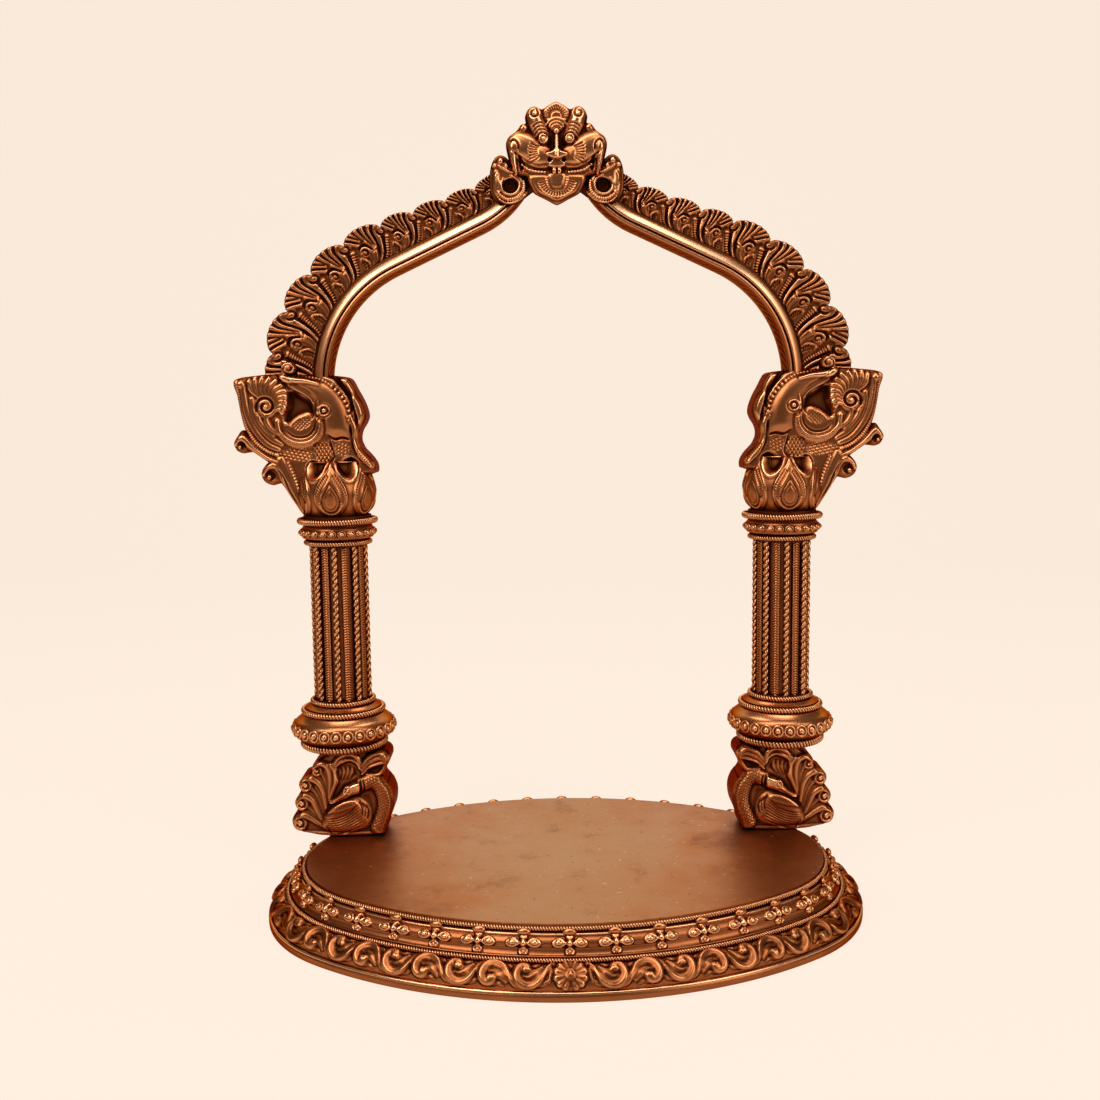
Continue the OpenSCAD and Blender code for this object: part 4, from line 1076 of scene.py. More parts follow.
def boss():
    """A ring with a round heart, turned about its own axis."""
    profile = [[0.05, -0.4], [2.6, -0.4], [2.85, 0.2], [2.6, 0.85], [2.2, 1.0], [1.85, 0.75], [1.6, 0.5],
               [1.45, 1.1], [1.0, 1.75], [0.5, 2.05], [0.05, 2.1]]
    marks = np.array([0.8, 0.8, 0.5, 0.15, 0.05, 0.5, 0.9, 0.35, 0.08, 0.05, 0.05])
    form = lathe(profile, 16, marks)
    form.points *= [1.25, 1.16, 1.0]
    return form


def bead():
    """An oval bead, wider than it is tall."""
    profile = [[0.05, -0.8], [2.3, -0.8], [2.4, 0.1], [2.2, 0.8], [1.85, 0.95], [1.6, 0.75], [1.35, 1.3],
               [0.8, 1.8], [0.05, 1.95]]
    form = lathe(profile, 14, np.array([0.8, 0.85, 0.5, 0.1, 0.25, 0.85, 0.25, 0.05, 0.05]))
    form.points *= [0.78, 1.02, 1.0]
    return form


def round_row(casting, name, count, r, z, stands_for):
    """Castings round both columns, facing outwards from the column's axis."""
    angle = column_angles(count)
    turns = np.stack([np.zeros(count), np.full(count, math.pi / 2), angle], 1)
    for side, sign in SIDES:
        x, y = sign * COLUMN_X + r * np.cos(angle), FRAME_Y + r * np.sin(angle)
        places = np.stack([x, y, np.full(count, z)], 1)
        casting_row(f"{side}_{name}", casting(), places, turns, "frame",
                    [f"{side}_{stands_for}"], cast_brass)


BOSS_N, BEAD_N, CABLE_N = 27, 24, 8
round_row(boss, "boss_row", BOSS_N, 26.3, DISC_Z + 11.8, "disc_bosses")
round_row(bead, "bead_row", BEAD_N, 18.9, CAPITAL_Z + 7.4, "capital_beads")

# Wires round a column: piece, node, ring radius, height, wire radius, pitch, depth, step and sides
ROUND_WIRES = (
    ("disc_wires_low", "disc_ropes", 21.3, DISC_Z + 3.3, 2.2, 3.4, 0.26, 0.34, 16),
    ("disc_wires_mid", "disc_ropes", 21.1, DISC_Z + 21.3, 1.5, 3.2, 0.28, 0.34, 14),
    ("disc_wires_top", "disc_ropes", 16.2, DISC_Z + 26.4, 1.3, 3.0, 0.28, 0.34, 14),
    ("capital_wire_low", "capital_ropes", 16.8, CAPITAL_Z + 2.0, 1.3, 2.8, 0.28, 0.32, 14),
    ("capital_wire_top", "capital_ropes", 19.6, CAPITAL_Z + 13.4, 1.7, 2.8, 0.26, 0.32, 14))
CABLE_AT, CABLE_R, CABLE_PITCH = 13.9, 1.7, 7.4


def cable_path(sign, angle):
    """A straight path up the shaft."""
    x, y = sign * COLUMN_X + CABLE_AT * math.cos(angle), FRAME_Y + CABLE_AT * math.sin(angle)
    return np.stack(np.broadcast_arrays(x, y, np.linspace(SHAFT_Z, CAPITAL_Z, 40)), 1), False


for side, sign in SIDES:
    for name, node, ring_r, z, r, pitch, depth, step, sides in ROUND_WIRES:
        twisted_wires(f"{side}_{name}", [ring_path(ring_r, z, sign)], r, pitch, "frame",
                      [f"{side}_{node}"], depth, step, sides)
    cables = [cable_path(sign, angle) for angle in column_angles(CABLE_N)]
    twisted_wires(f"{side}_cables", cables, CABLE_R, CABLE_PITCH, "frame",
                  [f"{side}_shaft_cables"], depth=0.36, step=0.5, sides=12)


def shaft_core():
    """The dark core behind the cables and strips."""
    profile = [[BORE, 0], [12.2, 0], [12.2, SHAFT_L], [BORE, SHAFT_L]]
    return lathe(profile, 96, np.array([0.9, 0.66, 0.66, 0.9]))


put_pair("shaft_core", at_column(shaft_core(), SHAFT_Z), "frame", ["shaft"], cast_brass, 40)


def hatched_strips():
    """Half-round strips between the cables, with herringbone cuts and a raised edge on each side."""
    rows, pitch, half = 260, 1.35, math.radians(8.6)
    across = np.linspace(-1, 1, 13)
    z = np.linspace(0, SHAFT_L, rows)[:, None]
    cut = 0.5 - 0.5 * np.cos(2 * math.pi * (z + 0.8 * np.abs(across)) / pitch)
    rim = np.clip((np.abs(across) - 0.72) / 0.12, 0, 1)
    reach = 12.9 + 1.7 * np.sqrt(1 - 0.8 * across ** 2) - 0.55 * cut * (1 - rim)
    mark = 0.2 + 0.6 * cut * (1 - rim) + 0.12 * rim
    reach[:, [0, -1]] = 11.4
    mark[:, [0, -1]] = 0.9
    # Two more points close each strip behind
    reach = np.hstack([reach, np.full((rows, 2), 11.2)])
    mark = np.hstack([mark, np.full((rows, 2), 0.9)])
    spread = half * np.concatenate([across, [0.5, -0.5]])
    strips = []
    for middle in column_angles(CABLE_N) + math.pi / CABLE_N:
        angle = middle + spread
        points = np.stack(np.broadcast_arrays(reach * np.cos(angle), reach * np.sin(angle), z), -1)
        strips.append(Form(points, quads_between(rows, len(spread), False, True), mark).outward())
    return strips[0].joined(*strips[1:])


put_pair("hatched_strips", at_column(hatched_strips(), SHAFT_Z), "frame", ["shaft_strips"],
         cast_brass)

capital_profile = np.vstack([
    [[BORE, 0], [15.4, 0], [15.4, 3.4]],
    curve([[16.0, 3.7], [18.2, 4.4], [18.9, 5.6], [18.9, 9.2], [18.2, 10.4], [17.8, 11.0]], 4),
    [[17.8, 11.6], [17.8, 16.2], [BORE, 16.2]]])
capital_marks = np.interp(capital_profile[:, 1], [0, 3.4, 3.8, 4.6, 6, 9, 10.4, 11.2, 16.2],
                          [0.85, 0.85, 0.3, 0.3, 0.7, 0.7, 0.25, 0.8, 0.8])
put_pair("capital_body", at_column(lathe(capital_profile, 128, capital_marks), CAPITAL_Z), "frame",
         ["capital"], cast_brass, 45)

# Lotus under the makara: pointed petals with hatched borders, and polished cups between them, lit by a
# painted highlight

LOTUS_ROWS, LOTUS_STEPS = 84, 360
LOTUS_R, LOTUS_H, PETAL_N = 20.6, 28.4, 6


def petal_line(mid, wide, foot, tip):
    """A closed pointed petal about mid, from its foot to its tip."""
    shape = [(0.0, 1.0), (0.2, 0.9), (0.54, 0.74), (0.88, 0.56), (1.0, 0.38), (0.93, 0.22), (0.66, 0.08),
             (0.28, 0.01)]
    half = [(wide * x, foot + (tip - foot) * y) for x, y in shape]
    line = [(mid + x, y) for x, y in half] + [(mid, foot)] + [(mid - x, y) for x, y in half[:0:-1]]
    return line + line[:1]


def lotus_relief():
    """Six broad pointed petals with engraved borders, and polished cups between them, lit by a painted
    highlight.
    """
    around = 2 * math.pi * LOTUS_R
    cell = around / LOTUS_STEPS
    face = Relief((-around / 2, 0), (around / 2 - 0.5 * cell, LOTUS_H), cell)
    pitch = around / PETAL_N
    face.form += 0.8
    face.dark_patina_and_shade += 0.35
    for k in range(-PETAL_N // 2, PETAL_N // 2):
        mid = (k + 0.5) * pitch
        cup = [(-7.4, 26), (-6.2, 23), (-3.4, 19.8), (0, 18.6), (3.4, 19.8), (6.2, 23), (7.4, 26)]
        bright = [(-6, 23), (0, 19), (6, 23), (3.6, 14), (1.6, 3), (-1.6, 3), (-3.6, 14)]
        # Painted highlight and polish on the fillet under each cup
        face.polish_and_highlight([(mid + x, y) for x, y in bright], 0.8)
        face.stroke([(mid + x, y) for x, y in cup], 1.3, 0.9, (0.6, 0.6), 0.8)
        # The hollow above each cup is darkened as painted shade
        face.hollow([(mid + x, y + 1.4) for x, y in [(-8, 28)] + cup + [(8, 28)]], -2.6, 2.4, dark_patina_and_shade=0.9)
    border = [(1.6, 22), (3.8, 18.2), (5.8, 14.6), (6.4, 11), (6, 7)]
    for k in range(-PETAL_N // 2, PETAL_N // 2 + 1):
        mid = k * pitch
        face.plate(petal_line(mid, 9.3, -0.4, 28.3)[:-1], 1.6, 0.9, 0.7)
        face.groove(petal_line(mid, 8.2, 0.5, 26.4), 0.4, 0.7)
        for side in (-1, 1):
            face.ticks([(mid + side * x, y) for x, y in border], 1.5, 1.3, 0.85, 0.4 * side)
        face.groove(petal_line(mid, 4.6, 2.4, 17.6), 0.45, 0.8)
        face.groove(petal_line(mid, 3.3, 4, 15), 0.38, 0.5)
    return face


def lotus_form():
    """The relief bent round a swelling cup, closed by its bore."""
    lotus = lotus_relief()
    share = np.linspace(0, 1, LOTUS_ROWS)
    z = sampled(lotus.v[:, None], share)[:, 0]
    cup = curve([[0, 16.6], [5, 19.0], [12, 20.4], [19.5, 19.2], [25, 17.2], [LOTUS_H, 16.0]], 12)
    wall = np.interp(z, cup[:, 0], cup[:, 1])[:, None] - 1.4
    reach = wall + sampled(lotus.height(), share)[:, :LOTUS_STEPS]
    mark = sampled(lotus.patina_and_shade(), share)[:, :LOTUS_STEPS]
    angle = lotus.u[:LOTUS_STEPS] / LOTUS_R - math.pi / 2
    reach = np.vstack([reach, np.full((2, LOTUS_STEPS), BORE)])
    mark = np.vstack([mark, np.full((2, LOTUS_STEPS), 0.8)])
    z = np.concatenate([z, [LOTUS_H, 0]])[:, None]
    points = np.stack(np.broadcast_arrays(reach * np.cos(angle), reach * np.sin(angle), z), -1)
    return Form(points, quads_between(LOTUS_ROWS + 2, LOTUS_STEPS, True, True), mark).outward()


put_pair("lotus_cup", at_column(lotus_form(), LOTUS_Z), "frame", ["lotus"], cast_brass)

# Makara heads: u runs outwards from the column, v up from the seat on the lotus

TRUNK_TIP = (20.9, 51.4)


def makara_strands(face):
    """Strands that sweep down from the upper corner and round under the jaw."""
    rim = [(48.6, 45), (47.9, 40.9), (47, 32.1), (45.4, 25.2), (42.8, 18.6), (38.6, 12.8), (33.2, 8.8),
           (28.4, 7)]
    strands = [
        (rim, 1.7),
        ([(45, 43), (44.4, 36.3), (43.4, 30), (41.2, 23.4), (37.6, 17.2), (33, 12.4), (27.6, 9.9)], 2.0),
        ([(40.6, 36), (40.2, 30.4), (38.4, 25), (35.2, 19.8), (31, 15.4), (26, 12.6)], 1.9),
        ([(37.6, 28.8), (36.8, 24.6), (33.9, 20.4), (30, 17)], 1.7),
        ([(33.8, 27.6), (33, 23.6), (30.8, 20.4), (27.8, 18.2)], 1.8)]
    for points, half in strands:
        face.stroke(points, half + 0.1, 1.8, (0.95, 0.7), 0.6, swell=0.4)
    face.ticks(rim, 1.7, 1.25, 0.8)
    for points, _ in strands[1:3]:
        face.groove(points, 0.4, 0.45)


def makara_fins(face):
    """A fan of claw-like fins round the spiral that they spring from."""
    heart = np.array((33.4, 32.2))
    for tip in ((41.6, 45), (38.6, 46.6), (34.9, 46.8), (31.3, 46.4), (28, 45.2), (25.3, 42.8), (23.4, 40),
                (22.6, 37), (22.8, 34), (23.7, 31.2), (25, 28.8)):
        way = np.array(tip) - heart
        far = math.hypot(*way)
        root = heart + way * 5.6 / far
        bow = np.array((way[1], -way[0])) / far
        face.stroke([root, 0.5 * root + 0.5 * np.array(tip) + 1.3 * bow, tip], 2.3, 2.1, (0.6, 0.8), 0.7,
                    swell=0.7, sharp=0.9)
    face.dome((46, 43.4), 2.6, 2.4, 1.7, base=1.0)
    face.dome(heart, 6.0, 6.0, 0.9, base=1.4, sharp=0.3)
    face.groove(coil(heart, 5.6, 1.6, -60, 0.2), 0.5, 1.0, False)
    face.groove(coil(heart, 4.8, 1.35, -60, 0.3), 0.35, 0.45, False)
    face.dome(heart, 1.3, 1.3, 1.3, base=1.6)


def makara_mouth(face):
    """The mouth, its netted tongue and the hatched jaw."""
    face.hollow([(22, 39.4), (18.3, 40), (14.5, 37.6), (10.3, 35), (8.6, 31.3), (8.8, 26.6), (14, 22.6),
                 (20, 21.6), (24.6, 24.4), (24.2, 28.7), (22.4, 32.6)], -1.9, 2.4, dark_patina_and_shade=0.55)
    face.plate([(24, 21.4), (21.6, 25), (16.6, 28.4), (11.4, 29.4), (8.8, 26), (10.4, 21.4), (16, 18),
                (21.4, 18.8)], 2.2, 3.4, base=-1.2)
    face.cross_hatch([(20.4, 22.8), (16, 26.2), (11.6, 26.8), (10.2, 24), (13, 20.8), (18, 19.8)], 1.35, 0.6)
    face.dome((23.4, 23.2), 1.7, 1.4, 2.0, 40, base=-0.4)
    face.stroke([(5.4, 25.4), (6.4, 18.6), (10.4, 14.2), (16.4, 12.8), (22.4, 14.6), (26.6, 18.8),
                 (28, 24.6)], 3.4, 1.9, (0.75, 0.5), 0.9, swell=0.5)
    face.ticks([(4.2, 24.6), (5.2, 18), (9.6, 13), (16.4, 11.5), (23, 13.4), (27.6, 18)], 1.9, 1.1, 0.6)
    face.groove([(6.4, 25.4), (7.6, 19.4), (11.2, 15.6), (16.4, 14.4), (21.8, 16), (25.2, 19.4),
                 (26.4, 23.6)], 0.5, 0.8)
    face.groove([(8, 24.6), (9.2, 20.4), (12.2, 17.2), (16.4, 16.2), (20.8, 17.4), (23.6, 20.2)], 0.4, 0.6)


def makara_trunk(face):
    """Smooth trunk and cheek, with a lip along its lower edge and pearls along the upper one."""
    face.plate([(-10, 25), (-8.6, 31), (-5.6, 37), (-1, 42), (5, 45.2), (11.6, 46.6), (17.4, 47.6),
                (18, 50.4), (20.6, 52.6), (23.4, 51), (24, 46.6), (22, 42.6), (18.2, 40.6), (14.4, 38.6),
                (10.4, 35.8), (8.2, 32.4), (7.6, 28), (5.2, 23.6), (3.8, 18.6), (1, 15.6), (-4, 15.2),
                (-9.6, 16.6)], 2.6, 6.5, base=0.9, sharp=0.8)
    face.stroke([(22.8, 47), (21.4, 43.4), (18, 41.2), (14.2, 39.2), (10.4, 36.4), (8.8, 33.6)], 0.95, 1.0,
                (0.6, 0.5), 1.5)
    face.groove([(22, 48), (19.8, 44.8), (16.4, 42.8), (12.6, 41), (9.4, 38.4)], 0.4, 0.4)
    face.stroke([(6, 43.4), (12.4, 45), (18, 45.4), (22.4, 46.2), (24.2, 49), (23, 52.4), (20, 53.4)], 2.5,
                2.0, (0.4, 0.7), 2.4, swell=0.75)
    face.dome(TRUNK_TIP, 3.7, 3.7, 1.2, base=1.8, sharp=0.35)
    face.groove(coil(TRUNK_TIP, 3.2, 1.15, 250, 0.3), 0.5, 1.0, False)
    pearls = [(19.4, 48), (12, 47.4), (5, 45.8), (-0.8, 42.4), (-5.4, 37.6), (-8.6, 32), (-10, 27)]
    face.groove(pearls, 1.3, 0.5)
    face.bead_row(pearls[:4], 1.7, 0.8, 1.1, 1.4)
    face.bead_row(pearls[3:], 2.2, 1.12, 1.5, 1.5)
    eye = (3.2, 29.8)
    face.ring(eye, 2.5, 0.8, 0.7, 3.2)
    face.dome(eye, 1.5, 1.5, 1.2, base=3.2)
    face.groove(arc_points(eye, 1.9, 0, 361, 20), 0.4, 0.7, False)
    face.groove(arc_points(eye, 3.3, 68.8, 297.9, 16), 0.4, 0.6, False)
    face.plate([(6, 36.6), (7.2, 33.4), (7.6, 29), (6.4, 27), (5.9, 31), (5.2, 34)], 0.9, 0.8, base=2.4)
    face.groove([(7.6, 27), (5.2, 25.4), (2.8, 24.8)], 0.45, 0.7)
    face.groove([(7, 25.6), (5, 24.2), (3.2, 23.6)], 0.4, 0.5)
    face.curl((-9.4, 24.6), 2.0, 1.0, 60, 0.9, 1.0, 1.6)
    # Painted highlight and polish along the trunk's upper side
    face.polish_and_highlight([(-4, 36), (2, 43), (12, 45.6), (22, 47), (20, 42), (12, 40.6), (8, 38), (4, 34), (-2, 26)],
             0.5, 3.0)
    # A recess beside the pearls, its darkening a painted shade
    face.hollow([(3, 48), (-1.8, 44.4), (-6.4, 39.4), (-9.6, 33.6), (-10.8, 28.4), (-12, 31), (-10.4, 37.6),
                 (-7.4, 43), (-5, 47), (0, 49)], -2.2, 1.6, dark_patina_and_shade=0.6)


def makara_leaves(face):
    """Two smooth leaves on the inner side."""
    face.plate([(-5.4, 46.6), (-9.4, 45.4), (-12, 41.4), (-12.4, 37.6), (-9.4, 40), (-6.4, 43.6)], 1.4, 2.2,
               1.0)
    face.plate([(-12, 37.6), (-15.6, 34), (-17.4, 29), (-16.8, 25), (-14.4, 21.6), (-12.8, 26),
                (-11.4, 31.4), (-10.4, 35.6)], 1.6, 2.4, 1.0)
    face.groove([(-6, 44.6), (-9, 41), (-10.6, 36.4), (-11.6, 31.4), (-13, 26), (-13.2, 22)], 0.55, 0.9)
    face.stroke([(-9.2, 26.6), (-11.4, 21.6), (-12, 15.6), (-13.2, 9.6), (-16, 5.4), (-20, 1.4)], 2.4, 1.6,
                (0.6, 0.9), 1.0)
    face.groove([(-9.8, 22), (-10.4, 16), (-11, 10.4), (-13.4, 5.6)], 0.5, 0.9)
    face.ticks([(-13.6, 10.4), (-16.4, 6.4), (-20.6, 2.4)], 1.8, 1.25, 0.6)


def makara_throat(face):
    """Throat above the lotus: pebbled and netted."""
    face.scales([(28.4, 8.4), (22, 10.4), (13, 10.6), (10, 7.4), (12, 4), (20, 3.6), (26, 5.4)], 2.3, 1.2,
                12)
    face.cross_hatch([(8, 13.6), (10, 10), (8.4, 3.6), (4, 1.6), (-0.4, 6), (0.6, 13)], 1.7, 0.7, 30)
    face.scales([(-1.6, 13.4), (-8.4, 13.4), (-9.4, 8.4), (-6, 5.4), (-1.6, 7)], 2.2, 0.8, -30)
    face.groove([(2.6, 17.4), (-1.6, 15), (-6, 15.6), (-9.4, 14.4)], 0.5, 0.8)
    face.groove([(1.4, 15.4), (0.2, 11), (-0.8, 6), (2, 2)], 0.5, 0.8)
    face.hollow([(6.4, 1.8), (9.6, 4.4), (13.2, 2.6), (14.2, -2), (10.2, -4.4), (7, -2.6)], -3.2, 2.0)
    face.hollow([(-4.2, 3.2), (-8.6, 6), (-13, 4), (-13.6, -0.4), (-8.8, -3.2), (-4.6, -0.8)], -3.2, 2.0)


def makara_tail(face):
    """Rolled tail tips and the leaf that runs down beside the lotus."""
    tips = (
        ([(28, 2.8), (34, 5.6), (39.6, 9.6), (43, 13.4), (46.6, 16.2), (49.6, 13.4)], (46.6, 12.2), 2.4),
        ([(23, -7), (26.4, -2), (29.6, 1.6), (33.6, 1.2), (36, -2.4)], (32, -3.6), 3.0))
    for leaf, centre, r in tips:
        face.stroke(leaf, 2.3, 1.8, (0.5, 0.8), 1.2, swell=0.7)
        face.hollow(arc_points(centre, r, 0, NEARLY_ROUND, 12), 0.4, 1.4)
        face.dome(np.array(centre) + (0.9, -0.7), 0.5 * r, 0.5 * r, 1.6, base=0.8)
    face.stroke([(27, 4.4), (24, -2), (21.4, -9), (18.4, -16.4), (15.4, -23.4)], 2.8, 1.3, (0.9, 0.5), 1.0)
    face.stroke([(31.4, 2.4), (27.6, -1.4), (25.4, -6.4), (21.8, -14.4), (17, -22.4)], 1.8, 1.3, (0.8, 0.5),
                0.9)
    face.groove([(29.2, 1.4), (25.6, -4), (23, -11), (18.6, -18.6)], 0.45, 0.8)
    face.bead_row([(22.8, 3), (20, -4), (17.8, -11), (15.8, -18.6)], 1.6, 0.75, 0.8, 1.6)


def makara_relief():
    """A water beast in profile: a rolled trunk over an open mouth, and fins and strands behind the jaw."""
    face = Relief((-25, -27), (53, 57), 0.32)
    face.outline([(-4.7, 47.4), (-9.3, 46.2), (-12.3, 41), (-16, 33.7), (-17.7, 27.7), (-17, 23.8),
                  (-14.3, 19.2), (-13.3, 14.6), (-15.3, 10), (-20.2, 4.4), (-22, -1), (-19, -3.5), (0, -4),
                  (12, -5), (13.5, -14), (15.4, -24.4), (20, -19), (25.6, -9.6), (27.8, -3), (30, 1.6),
                  (34, 4.6), (40.7, 10), (44.6, 19.2), (46.6, 27), (48.2, 37), (49.6, 45.8), (36.7, 48.3),
                  (24, 49), (12, 48.2), (3, 48)])
    face.outline([(45.6, 20), (49, 17.4), (51, 13.4), (49.6, 9.6), (46, 8.2), (42.4, 9.2), (38, 6.6),
                  (33, 3), (28, 1), (30, 6), (38, 12)])
    face.outline([(31, 4.6), (35.4, 1.6), (37.4, -2.6), (36, -6.6), (31.6, -8.6), (27.6, -7.6), (24.6, -11),
                  (21, -9), (26, 1)])
    face.outline_disc(TRUNK_TIP, 4.1)
    face.form += 1.1
    face.dark_patina_and_shade += 0.2
    for carve in (makara_strands, makara_fins, makara_mouth, makara_trunk, makara_leaves,
                  makara_throat, makara_tail):
        carve(face)
    return face


def on_column(seat):
    """Places a drawing that stands on the right column."""
    return lambda u, v: (COLUMN_X + u, seat + v)


makara = carved_slab(makara_relief(), on_column(MAKARA_Z), 9.0, soft=2.4, drop=3.6, wall=0.55)
put_pair("makara_head", makara, "frame", ["makara"], cast_brass, 70)

# Foot birds: u runs outwards from the column, v up from the plate


def bird_plumes(face):
    """Tail plumes with rolled tips; the ribs between two plumes blend from one into the other."""
    plumes = [np.array(p) for p in (
        [(26.2, 9.4), (22, 12), (18, 10.8), (13.6, 7.6), (8.6, 4.2)],
        [(25, 20.6), (21, 22.8), (16.6, 20.4), (14.2, 15.2), (11.8, 9.6)],
        [(22.6, 30.6), (18.8, 32.8), (13.6, 30.4), (10.6, 24.8), (9.2, 16)],
        [(15.6, 38.4), (11.8, 40.6), (8, 38.6), (6.6, 31.4), (7.6, 22)],
        [(5.7, 39.6), (3.6, 36), (3.6, 30.6), (5.2, 26.4), (7.4, 20.4)])]
    for low, high in zip(plumes[:-1], plumes[1:]):
        for share in (0.25, 0.5, 0.75):
            rib = (1 - share) * low + share * high
            face.stroke(rib[2:] if share > 0.6 else rib[1:], 1.5, 1.3, (0.7, 0.5), 0.9)
    for points in plumes:
        face.stroke(points, 2.2, 1.9, (0.9, 0.4), 1.2, swell=0.3)
    for centre, r in (((23.6, 7.4), 4.2), ((22.3, 18.2), 3.8), ((20, 28.2), 3.6), ((13.6, 36.2), 2.8)):
        face.dome(centre, r, r, 1.7, base=1.3, sharp=0.4)
        face.groove(coil(centre, 0.66 * r, 0.85, 70, 0.35), 0.5, 1.0, False)
        # Painted highlight and polish on each curl
        face.polish_and_highlight([centre + 0.8 * r * np.array(way) for way in ((1, 0), (0, 1), (-1, 0), (0, -1))], 0.7)


def bird_body(face):
    """Body, wing and belly feathers."""
    face.plate([(12, 8), (8, 15), (1, 20.6), (-6, 22.6), (-11.4, 20), (-15, 13), (-14, 6), (-6, 3), (4, 2.4),
                (10, 3.6)], 2.4, 4.0, base=1.3, sharp=0.8)
    wing = [(8.6, 13.6), (4, 17.8), (-1.6, 20.4), (-6.6, 20.6), (-8, 17.8), (-3, 15.4), (3.4, 13.6)]
    face.plate(wing, 0.9, 1.2, base=3.2)
    face.cross_hatch([(5.4, 14.8), (2, 17.4), (-2, 19.2), (-6, 19.2), (-6.6, 17.8), (-2, 16)], 1.1, 0.4, 38)
    for k in range(8):
        face.groove([(11.4 - 0.4 * k, 10.6 - 0.9 * k), (7, 10.2 - 1.2 * k), (1.6, 11.2 - 1.35 * k),
                     (-3.4, 13.6 - 1.4 * k), (-7.4 - 0.5 * k, 17.8 - 1.5 * k)], 0.38, 0.6)
    for k in range(3):
        face.groove([(-8.6 - 1.7 * k, 20 - 1.2 * k), (-10.4 - 1.5 * k, 16.4 - 1.2 * k),
                     (-10.2 - 1.3 * k, 11.6 - 0.9 * k)], 0.5, 0.8)


def bird_neck(face):
    """The scaled neck, bent round to the head with its long beak."""
    neck = [(-10.4, 28.8), (-15.8, 30.6), (-20.6, 27.6), (-23, 21), (-22.2, 13.4), (-18.6, 5)]
    face.hollow([(-10.4, 22.4), (-13.4, 24), (-15.8, 22.4), (-16.8, 17.6), (-15.8, 13.6), (-13.4, 17.4)],
                0.9, 2.2, dark_patina_and_shade=0.5)
    face.stroke(neck, 5.2, 2.9, (0.8, 0.9), 1.3)
    face.scales([(-11.4, 32), (-17.4, 33.8), (-24, 29.4), (-26.4, 20.4), (-25.4, 11), (-21, 4), (-15, 6),
                 (-16.6, 12), (-17.4, 19), (-16.6, 23.4), (-14.8, 26), (-11.6, 25.6)], 1.9, 0.7, 25)
    face.plate([(8, 19.4), (3.6, 22.8), (-0.8, 27.6), (-5, 30.6), (-9.8, 31), (-10.6, 24.6), (-5.4, 22.4),
                (1, 20), (6, 18)], 3.4, 2.6, base=1.4, sharp=0.8)
    # Painted highlight and polish on the bent neck
    face.polish_and_highlight([(6, 19.4), (-1, 26.6), (-6, 30), (-9.6, 29), (-9, 24.6), (0, 20.6)], 0.5)
    face.groove([(7.4, 19), (1.6, 21.4), (-3, 23.8)], 0.45, 0.8)
    face.ring((-3, 26.2), 2.1, 0.6, 0.7, 4.2)
    face.dome((-3, 26.2), 1.0, 1.0, 1.1, base=4.2)
    for shift in (0, 1.6):
        face.groove([(-9.4 - shift, 31.4), (-10.2 - shift, 27.8), (-9.6 - shift, 24.2)], 0.45, 0.9)


def bird_leaves(face):
    """Rolled leaves under the disc."""
    face.hollow([(3.4, 36.4), (0, 39.4), (-5, 39.8), (-8.4, 37), (-8, 33.2), (-2, 30.4), (2.4, 31.4)], 0.3,
                2.2, dark_patina_and_shade=0.5)
    for k in range(4):
        face.stroke([(2.0 - 2.4 * k, 38.2), (1.2 - 2.0 * k, 34.6), (2.4 - 1.7 * k, 31)], 1.2, 1.0,
                    (0.7, 0.5), 0.4)
    for lift, half in ((1.2, 2.0), (-1.6, 1.7)):
        face.stroke([(4.6, 38.6 + 0.7 * lift), (1.2, 42.6 + lift), (-4.0, 44.4 + lift), (-8.2, 42.4 + lift),
                     (-9.6, 38.8 + 0.7 * lift)], half, 2.0, (0.7, 0.8), 1.2)
    for lift, half in ((1.0, 2.2), (-1.8, 1.9), (-4.4, 1.6)):
        face.stroke([(-10.6, 38.2 + 0.8 * lift), (-14.6, 42.6 + lift), (-20, 44.8 + lift),
                     (-24, 42.6 + 0.4 * lift)], half, 2.1, (0.7, 0.9), 1.2)
    face.hollow([(-13, 37), (-17, 39), (-20.6, 39.4), (-21, 37), (-18, 35), (-14, 35)], 0.6, 1.6, dark_patina_and_shade=0.5)
    face.stroke([(-24, 42.4), (-22.6, 37.2), (-19.4, 34.2), (-13, 34.2)], 1.7, 1.9, (0.9, 0.6), 1.2)


def bird_relief():
    """A goose that turns its head back over its wing, with a tail of rolled plumes and leaves above it."""
    face = Relief((-30, -1), (31, 49), 0.3)
    face.outline([(18.4, 1.6), (12, 0.3), (1.3, 0), (-17.3, 0.5), (-22, 1.4), (-23.4, 6.4), (-26.4, 14),
                  (-27, 21.3), (-25, 27), (-21.4, 32), (-23.2, 37.4), (-25.2, 41.6), (-23.4, 46.6),
                  (-14, 47.4), (4, 47.2), (11, 43.4), (15.2, 40.6), (17, 36.8), (19, 33.6), (22.4, 31.8),
                  (24, 28.2), (22.8, 24.2), (25, 21.8), (26.4, 18), (24.6, 13.4), (27.2, 11.4), (28.2, 7.4),
                  (25.6, 3.4)])
    face.form += 1.4
    face.dark_patina_and_shade += 0.45
    for carve in (bird_plumes, bird_body, bird_neck, bird_leaves):
        carve(face)
    # Stippled ground and the plain foot
    face.scales([(-12.6, 8.4), (-19, 7.4), (-21.4, 3), (-14, 2.4), (-8.6, 4)], 1.7, 0.7, 0)
    face.stroke([(22, 2.8), (8, 1.4), (-10, 1.2), (-21.6, 2.0)], 1.6, 1.2, (0.8, 0.8), 1.2)
    return face


bird = carved_slab(bird_relief(), on_column(FOOT_Z), 9.4, soft=2.4, drop=3.8, wall=0.58)
put_pair("bird_foot", bird, "frame", ["foot_bird"], cast_brass, 70)

# Arch: a band with a broad polished rib, a thin fillet and a notched underside

